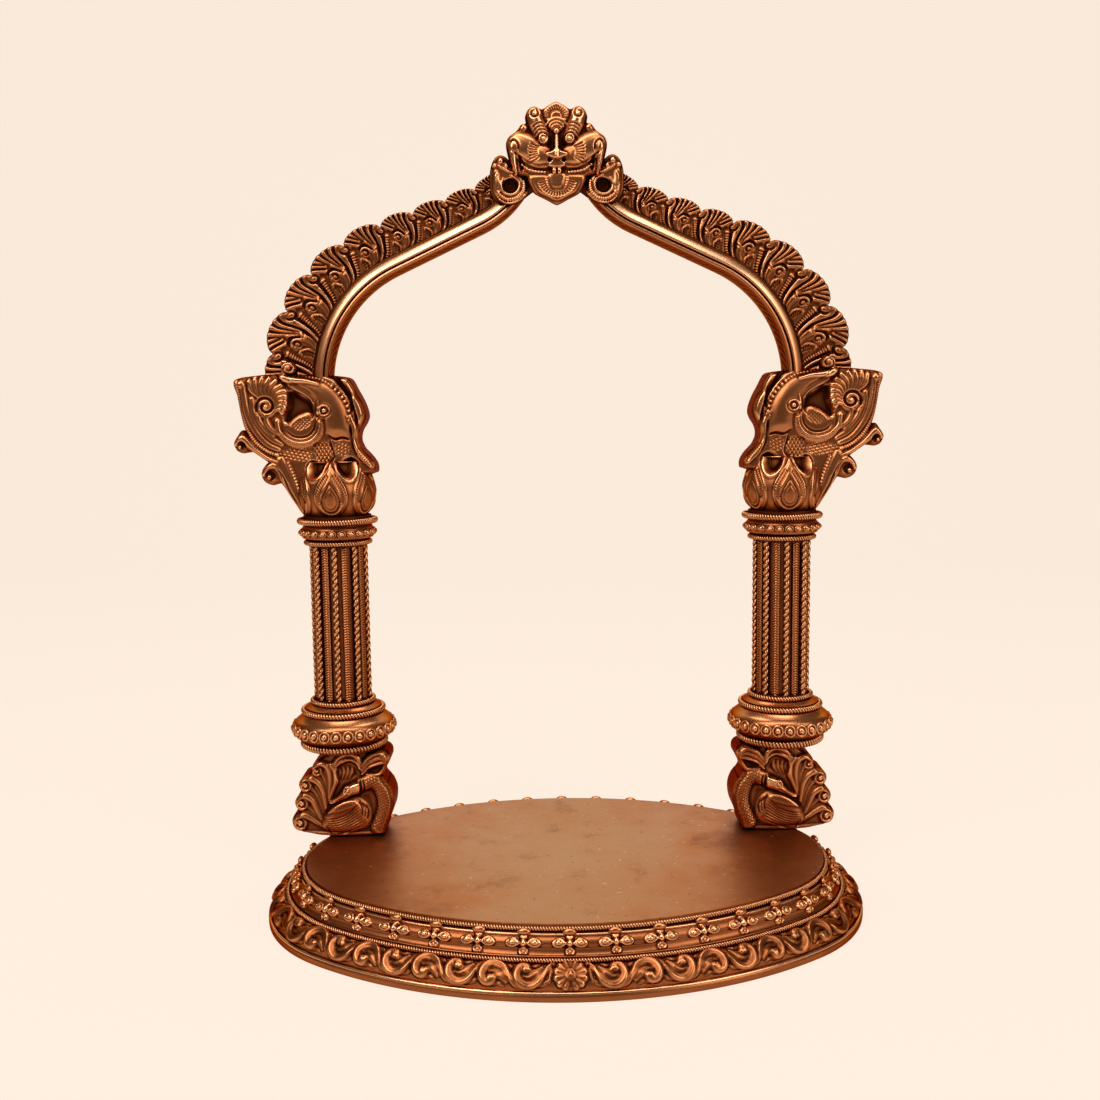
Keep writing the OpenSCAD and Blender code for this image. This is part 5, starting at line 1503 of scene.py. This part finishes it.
ARCH_STEPS, NOTCH_N, NOTCH_PITCH, NOTCH_DEEP = 420, 22, 4.6, 1.5
rib = curve([[7.05, 8.1], [6.2, 8.72], [5.2, 9.3], [4.2, 9.76], [3.5, 9.98], [3.0, 9.85], [2.7, 9.2],
             [2.55, 8.2]], 3)
fillet = curve([[2.4, 8.1], [2.15, 8.7], [1.4, 9.0], [0.7, 9.05], [0.2, 8.7], [0.02, 8.1]], 2)
arch_section = np.vstack([
    [[7.95, -10.4], [8.0, 2.0], [8.0, 7.4], [7.3, 7.5]],
    rib,
    [[2.45, 7.4]],
    fillet,
    [[0.0, 7.6], [0.0, 7.0]],
    np.stack([np.zeros(NOTCH_N), np.linspace(6.6, -10.0, NOTCH_N)], 1),
    [[0.05, -10.4], [4.0, -10.5]]])
arch_marks = np.concatenate([
    [0.8, 0.8, 0.7, 0.8],
    np.interp(np.linspace(0, 1, len(rib)), [0, 0.1, 0.72, 0.86, 1], [0.5, 0.04, 0.02, 0.5, 0.85]),
    [0.95],
    np.interp(np.linspace(0, 1, len(fillet)), [0, 0.3, 0.7, 1], [0.7, 0.2, 0.25, 0.6]),
    np.full(NOTCH_N + 4, 0.6)])


def arch_form():
    """The band's section swept along the ogee, darkened by painted shade at its foot, with slanting notches
    in its underside.
    """
    s = np.linspace(0, EDGE_L, ARCH_STEPS)
    t = np.broadcast_to(arch_section[:, 0], (len(s), len(arch_section))).copy()
    q = np.broadcast_to(arch_section[:, 1], t.shape)
    mark = np.broadcast_to(arch_marks, t.shape).copy()
    # Painted shade: the band darkens towards its foot
    mark += 0.3 * np.clip(1 - s / EDGE_A, 0, 1)[:, None]
    inner = arch_section[:, 0] < 0.01
    wave = 0.5 - 0.5 * np.cos(2 * math.pi * (s[:, None] + 0.55 * q) / NOTCH_PITCH)
    deep = wave ** 0.7 * np.interp(q, [-9.6, -7, 3.5, 6], [0, 1, 1, 0])
    t[:, inner] += NOTCH_DEEP * deep[:, inner]
    mark[:, inner] = 0.4 + 0.6 * deep[:, inner]
    x, z = ogee(s[:, None], t)
    points = np.stack([x, FRAME_Y - q, z], -1)
    count, cols = t.shape
    body = Form(points, quads_between(count, cols, False, True), mark)
    lids = []
    for row in (0, count - 1):
        ring = points[row]
        middle = np.broadcast_to(ring.mean(0), ring.shape)
        lids.append(Form(np.vstack([ring, middle]), quads_between(2, cols, False, True), 1.0))
    lids[0].quads = lids[0].quads[:, ::-1]
    return body.joined(*lids).outward()


put_pair("arch_band", arch_form(), "frame", ["arch"], polished_brass, 55)

# Leaf fringe: fans of ribs with scrolls and hatched strands, drawn along the arch


def fringe_place(k):
    """Places points of lobe k: a is the share along the lobe, b the share out from the band to the rim."""
    def at(a, b):
        s = LEAF_L + (k + a) * LOBE_PITCH
        return min(max(s, 0.0), EDGE_L), BAND_W + b * float(fringe_w(s))

    return lambda *points: [at(a, b) for a, b in points]


def fringe_lobe(face, at, size):
    """One leaf: a fan of ribs over a tie, a scroll at its end, a spiral and hatched strands at its foot."""
    for line in (((0.03, 0.82), (0.15, 0.72), (0.28, 0.60)),
                 ((0.12, 0.885), (0.23, 0.79), (0.34, 0.68)),
                 ((0.23, 0.93), (0.32, 0.82), (0.42, 0.70))):
        face.stroke(at(*line), 1.35 * size, 1.5, (1.0, 0.7), 0.7, swell=0.3)
    for line in (((0.37, 0.97), (0.42, 0.78), (0.50, 0.57), (0.565, 0.36)),
                 ((0.54, 0.975), (0.53, 0.82), (0.565, 0.62), (0.62, 0.38)),
                 ((0.71, 0.95), (0.65, 0.82), (0.66, 0.62), (0.675, 0.37))):
        face.stroke(at(*line), 1.65 * size, 1.6, (1.0, 0.4), 0.7, swell=0.05)
    for line in (((0.07, 0.86), (0.19, 0.755), (0.32, 0.635)),
                 ((0.18, 0.92), (0.28, 0.80), (0.38, 0.69)),
                 ((0.30, 0.97), (0.37, 0.80), (0.46, 0.62)),
                 ((0.46, 0.99), (0.48, 0.80), (0.53, 0.60), (0.59, 0.42)),
                 ((0.63, 0.98), (0.59, 0.82), (0.61, 0.62), (0.645, 0.42)),
                 ((0.79, 0.93), (0.72, 0.78), (0.725, 0.55), (0.715, 0.34), (0.62, 0.12))):
        face.groove(at(*line), 0.42 * size, 0.75)
    # Scroll leaf and its stem
    stem = at((0.87, 0.88), (0.80, 0.73), (0.81, 0.54), (0.77, 0.315), (0.665, 0.12), (0.55, 0.0))
    face.stroke(stem, 1.8 * size, 1.2, (1.0, 0.4), 0.9, swell=0.1)
    face.stroke(at((0.875, 0.60), (0.86, 0.50), (0.81, 0.31), (0.735, 0.14), (0.60, 0.0)), 0.7 * size, 0.8,
                (0.6, 0.6), 1.8)
    scroll = at((0.97, 0.72))[0]
    face.dome(scroll, 3.3 * size, 3.1 * size, 1.0, base=1.1, sharp=0.35)
    face.groove(at((0.83, 0.76), (0.86, 0.66), (0.95, 0.595), (1.05, 0.64), (1.03, 0.73), (0.97, 0.73)),
                0.48 * size, 0.95)
    face.groove(at((0.94, 0.56), (0.90, 0.42), (0.83, 0.23), (0.72, 0.07)), 0.4 * size, 0.75)
    # Tie and the stems below it
    for a, b in ((0.575, 0.345), (0.55, 0.265)):
        face.dome(at((a, b))[0], 1.9 * size, 0.75 * size, 1.2, 25, 1.2)
    for shift in (-0.045, 0.0, 0.045):
        face.stroke(at((0.585 + shift, 0.30), (0.53 + shift, 0.18), (0.45 + shift, 0.06),
                       (0.36 + shift, 0.0)), 0.75 * size, 1.0, (0.9, 0.5), 0.9)
    # Hatched strand between this lobe and the next
    strand = at((1.04, 0.51), (0.955, 0.33), (0.87, 0.143), (0.75, 0.0))
    face.stroke(strand, 1.6 * size, 1.2, (0.95, 0.35), 0.8, swell=0.15)
    face.ticks(strand, 1.7 * size, 1.35 * size, 1.1)
    # Spiral at the foot with its long crest, and the hatched leaf under it
    face.dome(at((0.33, 0.375))[0], 3.0 * size, 2.8 * size, 0.8, base=1.0, sharp=0.35)
    face.stroke(at((0.42, 0.34), (0.42, 0.22), (0.37, 0.10), (0.27, 0.0)), 1.7 * size, 0.8, (1.0, 0.5), 0.9)
    face.stroke(at((0.25, 0.47), (0.32, 0.50), (0.425, 0.46), (0.495, 0.315), (0.455, 0.134), (0.33, 0.0)),
                0.8 * size, 1.2, (0.6, 0.5), 1.2)
    face.groove(at((0.26, 0.41), (0.34, 0.445), (0.40, 0.39), (0.36, 0.31), (0.29, 0.33), (0.30, 0.38)),
                0.42 * size, 0.85)
    face.groove(at((0.22, 0.52), (0.34, 0.565), (0.46, 0.52), (0.54, 0.34)), 0.42 * size, 0.8)
    face.stroke(at((0.13, 0.31), (0.21, 0.25), (0.275, 0.14), (0.22, 0.0)), 0.75 * size, 1.1, (0.8, 0.5),
                1.1)
    leaf = at((0.13, 0.26), (0.18, 0.15), (0.14, 0.02))
    face.stroke(leaf, 1.5 * size, 0.7, (0.9, 0.5), 0.9)
    face.ticks(leaf, 1.5 * size, 1.3 * size, 1.0, 0.5)


def fringe_relief():
    """Leaf lobes along the arch, from its foot to the crest."""
    face = Relief((0, BAND_W + 0.1), (EDGE_L, BAND_W + FRINGE_FOOT_W * 1.04), 0.32)
    tips = ((0.0, 0.78), (0.03, 0.84), (0.12, 0.905), (0.23, 0.95), (0.37, 0.98), (0.54, 0.985),
            (0.71, 0.965), (0.84, 0.92), (0.94, 0.86))
    foot = ((0, 0.66), (1.5, 0.8), (4.5, 0.88), (8, 0.88), (11, 0.84))
    rim = [(s, BAND_W + float(fringe_w(s)) * b) for s, b in foot]
    for k in range(LOBE_N):
        rim += fringe_place(k)(*tips)
    rim = [(s, t) for s, t in rim if s < EDGE_L - 0.5]
    rim = [tuple(p) for p in curve(rim, 4)]
    face.outline(rim + [(EDGE_L, BAND_W + 7), (EDGE_L, BAND_W), (0, BAND_W)], False)
    face.form += 1.0
    face.dark_patina_and_shade += 0.7
    for k in range(-1, LOBE_N):
        wide = float(fringe_w(LEAF_L + (k + 0.5) * LOBE_PITCH))
        fringe_lobe(face, fringe_place(k), max(0.55, min(1.0, wide / 22)))
    return face


FRINGE_FACE, FRINGE_BACK = 5.9, -1.5
fringe = carved_slab(fringe_relief(), ogee, FRINGE_FACE, back=FRINGE_BACK, soft=1.0)
put_pair("leaf_fringe", fringe, "frame", ["fringe"], cast_brass, 70)

# Lion mask and the two scrolls beside it: u from the middle, v up from the mask's foot


def mask_half(face, side):
    """One side of the face: cheek, eye barrel, ear, tusk, pearls, nostril wing and tooth."""
    def on(points):
        return [(side * x, y) for x, y in points]

    # Cheek: one broad smooth swelling, rimmed below
    face.plate(on([(2.4, 27.6), (7, 29.6), (11, 31.8), (15.4, 34.8), (20, 36), (24, 33.6), (25, 30.4),
                   (23.6, 27), (19.2, 25.4), (14.6, 21), (9.4, 18.8), (3.4, 19.6)]), 1.6, 1.8, base=2.2)
    face.dome((side * 15.6, 29.2), 10.4, 7.0, 3.4, side * 30, 2.6, 0.75)
    face.dome((side * 8.4, 24.8), 7.0, 6.0, 2.8, side * 10, 2.8, 0.75)
    face.ease(on([(3.4, 27), (8, 29.4), (13, 32.4), (19.6, 35), (23.6, 32), (22, 27.6), (17, 24), (10, 20),
                  (4, 20.6)]), 1.3)
    face.groove(on([(22.6, 27.6), (18.6, 24.8), (14, 21.8), (9.2, 20.2), (4.4, 20.8)]), 0.45, 0.6)
    for k in range(7):
        turn = math.radians(30 - 10 * k)
        c, s = math.cos(turn), math.sin(turn)
        face.groove(on([(4.4 + 5.0 * c, 26.4 + 5.0 * s), (4.4 + 10 * c, 26.2 + 9.4 * s)]), 0.36, 0.7, False)
    # Eye barrel: curled at the brow, ringed down to the eye at its lower end
    face.stroke(on([(11.2, 45.4), (10, 41.4), (8.2, 37), (6.6, 32.8)]), 4.5, 3.4, (0.9, 0.85), 2.2,
                swell=0.4, sharp=0.8)
    face.groove(coil((side * 11.2, 45.4), 2.7, 1.2 * side, 90, 0.25), 0.5, 0.9, False)
    for r in (3.3, 4.9, 6.5, 8.1):
        wide = math.degrees(math.asin(3.2 / r))
        face.groove(on(arc_points((6.6, 32.6), r, 70 - wide, 70 + wide, 12)), 0.5, 0.8, False)
    face.ring((side * 6.5, 32.8), 1.9, 0.6, 0.7, 4.6)
    face.dome((side * 6.5, 32.8), 1.1, 1.1, 1.3, base=4.4)
    # Ear and the leaf edge behind the cheek
    face.dome((side * 16.9, 38.6), 2.5, 2.3, 1.6, base=2.2)
    face.stroke(on([(19.6, 37.2), (15.6, 35.4), (11.6, 32.6)]), 1.0, 0.9, (0.7, 0.4), 2.2)
    # Tusk: hangs from the cheek's end and tapers
    face.stroke(on([(21.8, 31.6), (21.9, 27.4), (21.4, 21.6), (20.2, 15.2)]), 2.4, 2.4, (0.9, 0.4), 2.4,
                swell=0.15)
    face.groove(on([(19.2, 27), (19.4, 30.6), (21.6, 32.6), (23.6, 31)]), 0.45, 0.8)
    face.hollow(on([(19.2, 25.4), (19, 20), (18, 16.6), (16.4, 18.6), (15.6, 21)]), 0.9, 1.3, dark_patina_and_shade=0.6)
    # Pearls under the lip
    face.bead_row(on([(17.4, 20.6), (14.2, 18.4), (10.4, 17.4), (6, 17)]), 1.35, 0.8, 1.0, 2.4)
    # Nostril wing and tooth
    face.plate(on([(0, 33.6), (0.9, 32.6), (1.1, 29.4), (2.2, 27.2), (5.7, 26), (5.5, 24.2), (3, 23.4),
                   (0, 23.2)]), 2.0, 1.2, base=5.0)
    face.dome((side * 1.3, 17.6), 1.3, 2.0, 1.6, base=3.2)


def mask_relief():
    """A lion's face: eye barrels under a brow plume, broad cheeks, flared nose, tusks and hanging jaw."""
    face = Relief((-28, -1), (28, 54), 0.25)
    half = [(0, 51.6), (3, 50.4), (6.6, 48.2), (8.4, 48.4), (11, 49.4), (14, 47.8), (15.6, 44.6),
            (15.4, 41.4), (17.4, 40.8), (19.6, 38), (22, 36), (24.4, 34), (25.4, 30.6), (24.4, 25),
            (22.8, 19), (20.6, 14.4), (18.6, 15.6), (15.4, 15.2), (13.8, 10.6), (11.2, 7.2), (6.2, 4.6),
            (1.0, 1.9)]
    face.outline(half + [(-x, y) for x, y in half[:0:-1]])
    face.form += 2.2
    # Brow plume: a pointed tile, hatched like a fan, over stacked arcs and a bead
    face.plate([(0, 51.4), (6, 48.2), (6.6, 45), (4.8, 40.6), (2.9, 37), (0, 36), (-2.9, 37), (-4.8, 40.6),
                (-6.6, 45), (-6, 48.2)], 1.4, 1.6, base=2.0)
    for k in range(15):
        turn = math.radians(-8 + 14 * k)
        c, s = math.cos(turn), math.sin(turn)
        face.groove([(2.9 * c, 44 + 2.4 * s), (5.6 * c, 44 + 5.6 * s)], 0.42, 0.7, False)
    for r in (5.7, 4.0, 2.5):
        face.stroke(arc_points((0, 37.2), r, 25, 155, 12), 0.85, 0.9, (0.6, 0.6), 3.0, False)
    face.dome((0, 36.8), 1.8, 1.8, 1.9, base=2.8)
    for side in (-1, 1):
        mask_half(face, side)
    # Nose ridge and its base
    face.stroke([(0, 34), (0, 29.6), (0, 24)], 1.6, 2.4, (0.7, 1.0), 5.0, swell=0.8)
    nose = [(0, 33), (1, 27), (5.4, 25.6), (4, 23.4), (0, 23)]
    cheek = [(9, 31), (15, 35), (20, 36), (24, 33), (24, 29), (18, 27), (12, 22), (6, 21)]
    # Painted highlight and polish on the nose and cheeks
    for side in (-1, 1):
        face.polish_and_highlight([(side * x, y) for x, y in nose], 0.8, 0.8)
        face.polish_and_highlight([(side * x, y) for x, y in cheek], 0.6, 3.0)
    face.plate([(-4.6, 24.4), (4.6, 24.4), (5, 21.8), (3.4, 19), (-3.4, 19), (-5, 21.8)], 1.6, 1.4, base=3.6)
    for side in (-1, 1):
        face.hollow(arc_points((side * 3.6, 22.6), 1.2, 0, NEARLY_ROUND, 11), 2.4, 0.7)
    # Lower jaw: tongue, pearled line and fan of cuts inside a plain rim
    face.plate([(-14.4, 15.4), (14.4, 15.4), (13, 10.8), (10.4, 6.8), (6, 4.2), (0, 1.2), (-6, 4.2),
                (-10.4, 6.8), (-13, 10.8)], 0.9, 1.8, base=2.0)
    for k in range(17):
        turn = math.radians(-165 + 9.4 * k)
        c, s = math.cos(turn), math.sin(turn)
        face.groove([(6.2 * c, 14 + 6.0 * s), (9.6 * c, 14 + 8.8 * s)], 0.42, 0.7, False)
    face.groove([(-12.4, 12.4), (-9.8, 7.6), (-5.6, 5.2), (0, 2.8), (5.6, 5.2), (9.8, 7.6), (12.4, 12.4)],
                0.45, 0.7)
    face.plate([(-4.2, 16.4), (4.2, 16.4), (4, 11.6), (2, 9), (-2, 9), (-4, 11.6)], 1.2, 2.4, base=2.4)
    face.bead_row([(-5.2, 14.4), (-4.9, 10.8), (-2.4, 8.1), (2.4, 8.1), (4.9, 10.8), (5.2, 14.4)], 1.2, 0.6,
                  0.7, 2.7)
    return face


def on_crest(u, v):
    """Places a drawing that stands on the mask's foot."""
    return u, MASK_Z + v


mask = carved_slab(mask_relief(), on_crest, MASK_BACK + 2.8, back=MASK_BACK, soft=2.2, drop=3.2)
put("lion_mask_face", mesh_of("lion_mask_face", mask), "frame",
    ["lion_mask"], cast_brass, 70)


def crest_scroll_relief():
    """A leaf rolled round a drilled eye: u outwards from the arch's middle, v up from the mask's foot."""
    face = Relief((11, 0), (36, 29), 0.25)
    face.outline([(15, 14), (14.6, 8.6), (17, 5), (21, 2.6), (26, 2.2), (30.6, 3.6), (33.4, 8), (34, 14),
                  (33.4, 20), (31.6, 24.4), (28.6, 26.4), (25, 25), (21, 20)])
    eye = (23.5, 11.2)
    face.plate([(16, 13.6), (15.8, 9), (18, 6), (21.6, 3.8), (26, 3.4), (30, 4.8), (32.2, 8.6), (32.8, 14),
                (32.2, 19.6), (30.6, 23.2), (28.4, 25), (25.6, 23.4), (21, 19)], 1.6, 2.2)
    face.stroke(arc_points(eye, 4.7, 100, 400, 14), 0.85, 1.2, (0.8, 0.8), 1.5, False)
    hatched = arc_points(eye, 6.9, 165, 330, 14)
    face.stroke(hatched, 1.5, 1.4, (0.6, 0.6), 1.3, False)
    face.ticks(hatched, 1.4, 1.15, 0.7, smooth=False)
    face.stroke(arc_points(eye, 8.8, 200, 320, 14), 0.7, 1.2, (0.5, 0.5), 1.2, False)
    face.plate([(28.8, 8), (31, 11.4), (31.6, 16), (29.8, 18.4), (28.4, 14.6), (28, 11)], 1.2, 1.4, base=1.4)
    face.groove([(29.4, 9.6), (30.2, 13), (29.8, 16.8)], 0.4, 0.6)
    for centre, r in (((28.2, 23), 1.6), ((31.2, 20.8), 1.3), ((25.4, 20.6), 1.3)):
        face.dome(centre, r, r, 1.6, base=1.4)
    face.stroke([(21, 17.6), (24, 18), (27.4, 19.6), (29.2, 21)], 0.9, 1.3, (0.5, 0.7), 1.3)
    face.hollow(arc_points(eye, 3.7, 0, NEARLY_ROUND, 18), -1.0, 1.2)
    return face


crest_scroll = carved_slab(crest_scroll_relief(), on_crest, MASK_BACK + 1.4, back=MASK_BACK - 1.5, soft=1.0)
put_pair("crest_leaf", crest_scroll, "frame", ["crest_scroll"], cast_brass, 70)

# CAD nodes that stay as they are

for name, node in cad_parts.items():
    if not node.hide_render:
        node.data.materials.clear()
        node.data.materials.append(plate_brass if name == "top_plate" else dark_brass)

# Stage: one pale sheet that curves up behind, soft lamps and the camera of the photograph

PEACH = "#FEEEDE"


def pale_sheet():
    """Seamless paper: its own colour for eye, gloss and glass, with a soft shadow under the object."""
    material, tree = new_material("seamless pale paper")
    path = add(tree, "ShaderNodeLightPath").outputs
    seen = add(tree, "ShaderNodeMath", {0: path["Is Camera Ray"], 1: path["Is Glossy Ray"]},
               operation="MAXIMUM")
    seen = add(tree, "ShaderNodeMath", {0: seen.outputs[0], 1: path["Is Transmission Ray"]},
               operation="MAXIMUM")
    share = add(tree, "ShaderNodeMath", {0: seen.outputs[0], 1: 0.93}, operation="MULTIPLY")
    glow = add(tree, "ShaderNodeEmission", {"Color": linear(PEACH), "Strength": 1.0})
    paper = add(tree, "ShaderNodeBsdfDiffuse", {"Color": linear(PEACH)})
    both = add(tree, "ShaderNodeMixShader", {0: share.outputs[0], 1: paper.outputs[0], 2: glow.outputs[0]})
    add(tree, "ShaderNodeOutputMaterial", {"Surface": both.outputs[0]})
    return material


SHEET_HALF, SHEET_FRONT, SHEET_TOP = 2600, -650, 2600
BEND_Y, BEND_R = 1300, 700


def backdrop():
    """The paper sheet: flat under the object, then bent upright behind it."""
    bend = arc_points((BEND_Y, BEND_R), BEND_R, -90, 0, 24)
    y, z = np.vstack([[[SHEET_FRONT, 0]], bend, [[BEND_Y + BEND_R, SHEET_TOP]]]).T[:, :, None]
    points = np.stack(np.broadcast_arrays([-SHEET_HALF, SHEET_HALF], y, z), -1)
    sheet_form = Form(points, quads_between(len(y), 2), 0.0)
    sheet = bpy.data.objects.new("paper_sheet", mesh_of("paper_sheet", sheet_form))
    sheet.data.flip_normals()
    sheet.data.materials.append(pale_sheet())
    bpy.context.scene.collection.objects.link(sheet)


backdrop()


def soft_lamp(name, at, aim, size, power, colour):
    """A rectangular softbox that faces a point; places and sizes in metres, power in watts."""
    lamp = bpy.data.lights.new(name, "AREA")
    lamp.shape, lamp.size, lamp.size_y = "RECTANGLE", size[0], size[1]
    lamp.energy, lamp.color = power, linear(colour)[:3]
    holder = bpy.data.objects.new(name, lamp)
    holder.location = at
    holder.rotation_euler = (Vector(aim) - Vector(at)).to_track_quat("-Z", "Y").to_euler()
    bpy.context.scene.collection.objects.link(holder)


soft_lamp("key_softbox", (-0.85, -1.0, 1.1), (0, 0, 0.2), (0.9, 0.8), 13, "#FFFAF4")
soft_lamp("fill_softbox", (1.05, -0.9, 0.75), (0, 0, 0.18), (0.7, 1.0), 8, "#FFF8F0")
soft_lamp("front_top_softbox", (0.0, -0.6, 1.45), (0, 0, 0.2), (1.3, 0.5), 11, "#FFFCF8")
soft_lamp("top_softbox", (0.0, 0.45, 1.4), (0, 0, 0.1), (1.1, 0.6), 8, "#FFFAF2")

world = bpy.data.worlds.new("studio_room")
bpy.context.scene.world = world
world.use_nodes = True
world.node_tree.nodes.clear()
room = add(world.node_tree, "ShaderNodeBackground", {"Color": linear("#B9A594"), "Strength": 0.36})
add(world.node_tree, "ShaderNodeOutputWorld", {"Surface": room.outputs[0]})

# The photograph's camera: place in mm, angles, and focal length in the picture's pixels
CAMERA_AT = np.array([-10.83, -596.325, 253.549])
PITCH, YAW, ROLL = math.radians(6.649), math.radians(0.475), math.radians(0.69)
FOCAL_PX, PICTURE_PX = 1198.687, 1100
ahead = Vector((math.sin(YAW) * math.cos(PITCH), math.cos(YAW) * math.cos(PITCH), -math.sin(PITCH)))
right = Vector((math.cos(YAW), -math.sin(YAW), 0))
above = right.cross(ahead)
across_x = right * math.cos(ROLL) - above * math.sin(ROLL)
across_y = right * math.sin(ROLL) + above * math.cos(ROLL)
lens = bpy.data.cameras.new("camera")
SENSOR_W = 36
lens.sensor_width = SENSOR_W
lens.lens = SENSOR_W * FOCAL_PX / PICTURE_PX
camera = bpy.data.objects.new("camera", lens)
axes = Matrix((across_x, across_y, -ahead)).transposed().to_4x4()
camera.matrix_world = Matrix.Translation(Vector(CAMERA_AT * MM)) @ axes
bpy.context.scene.collection.objects.link(camera)
bpy.context.scene.camera = camera

bpy.context.scene.view_settings.view_transform = "Standard"
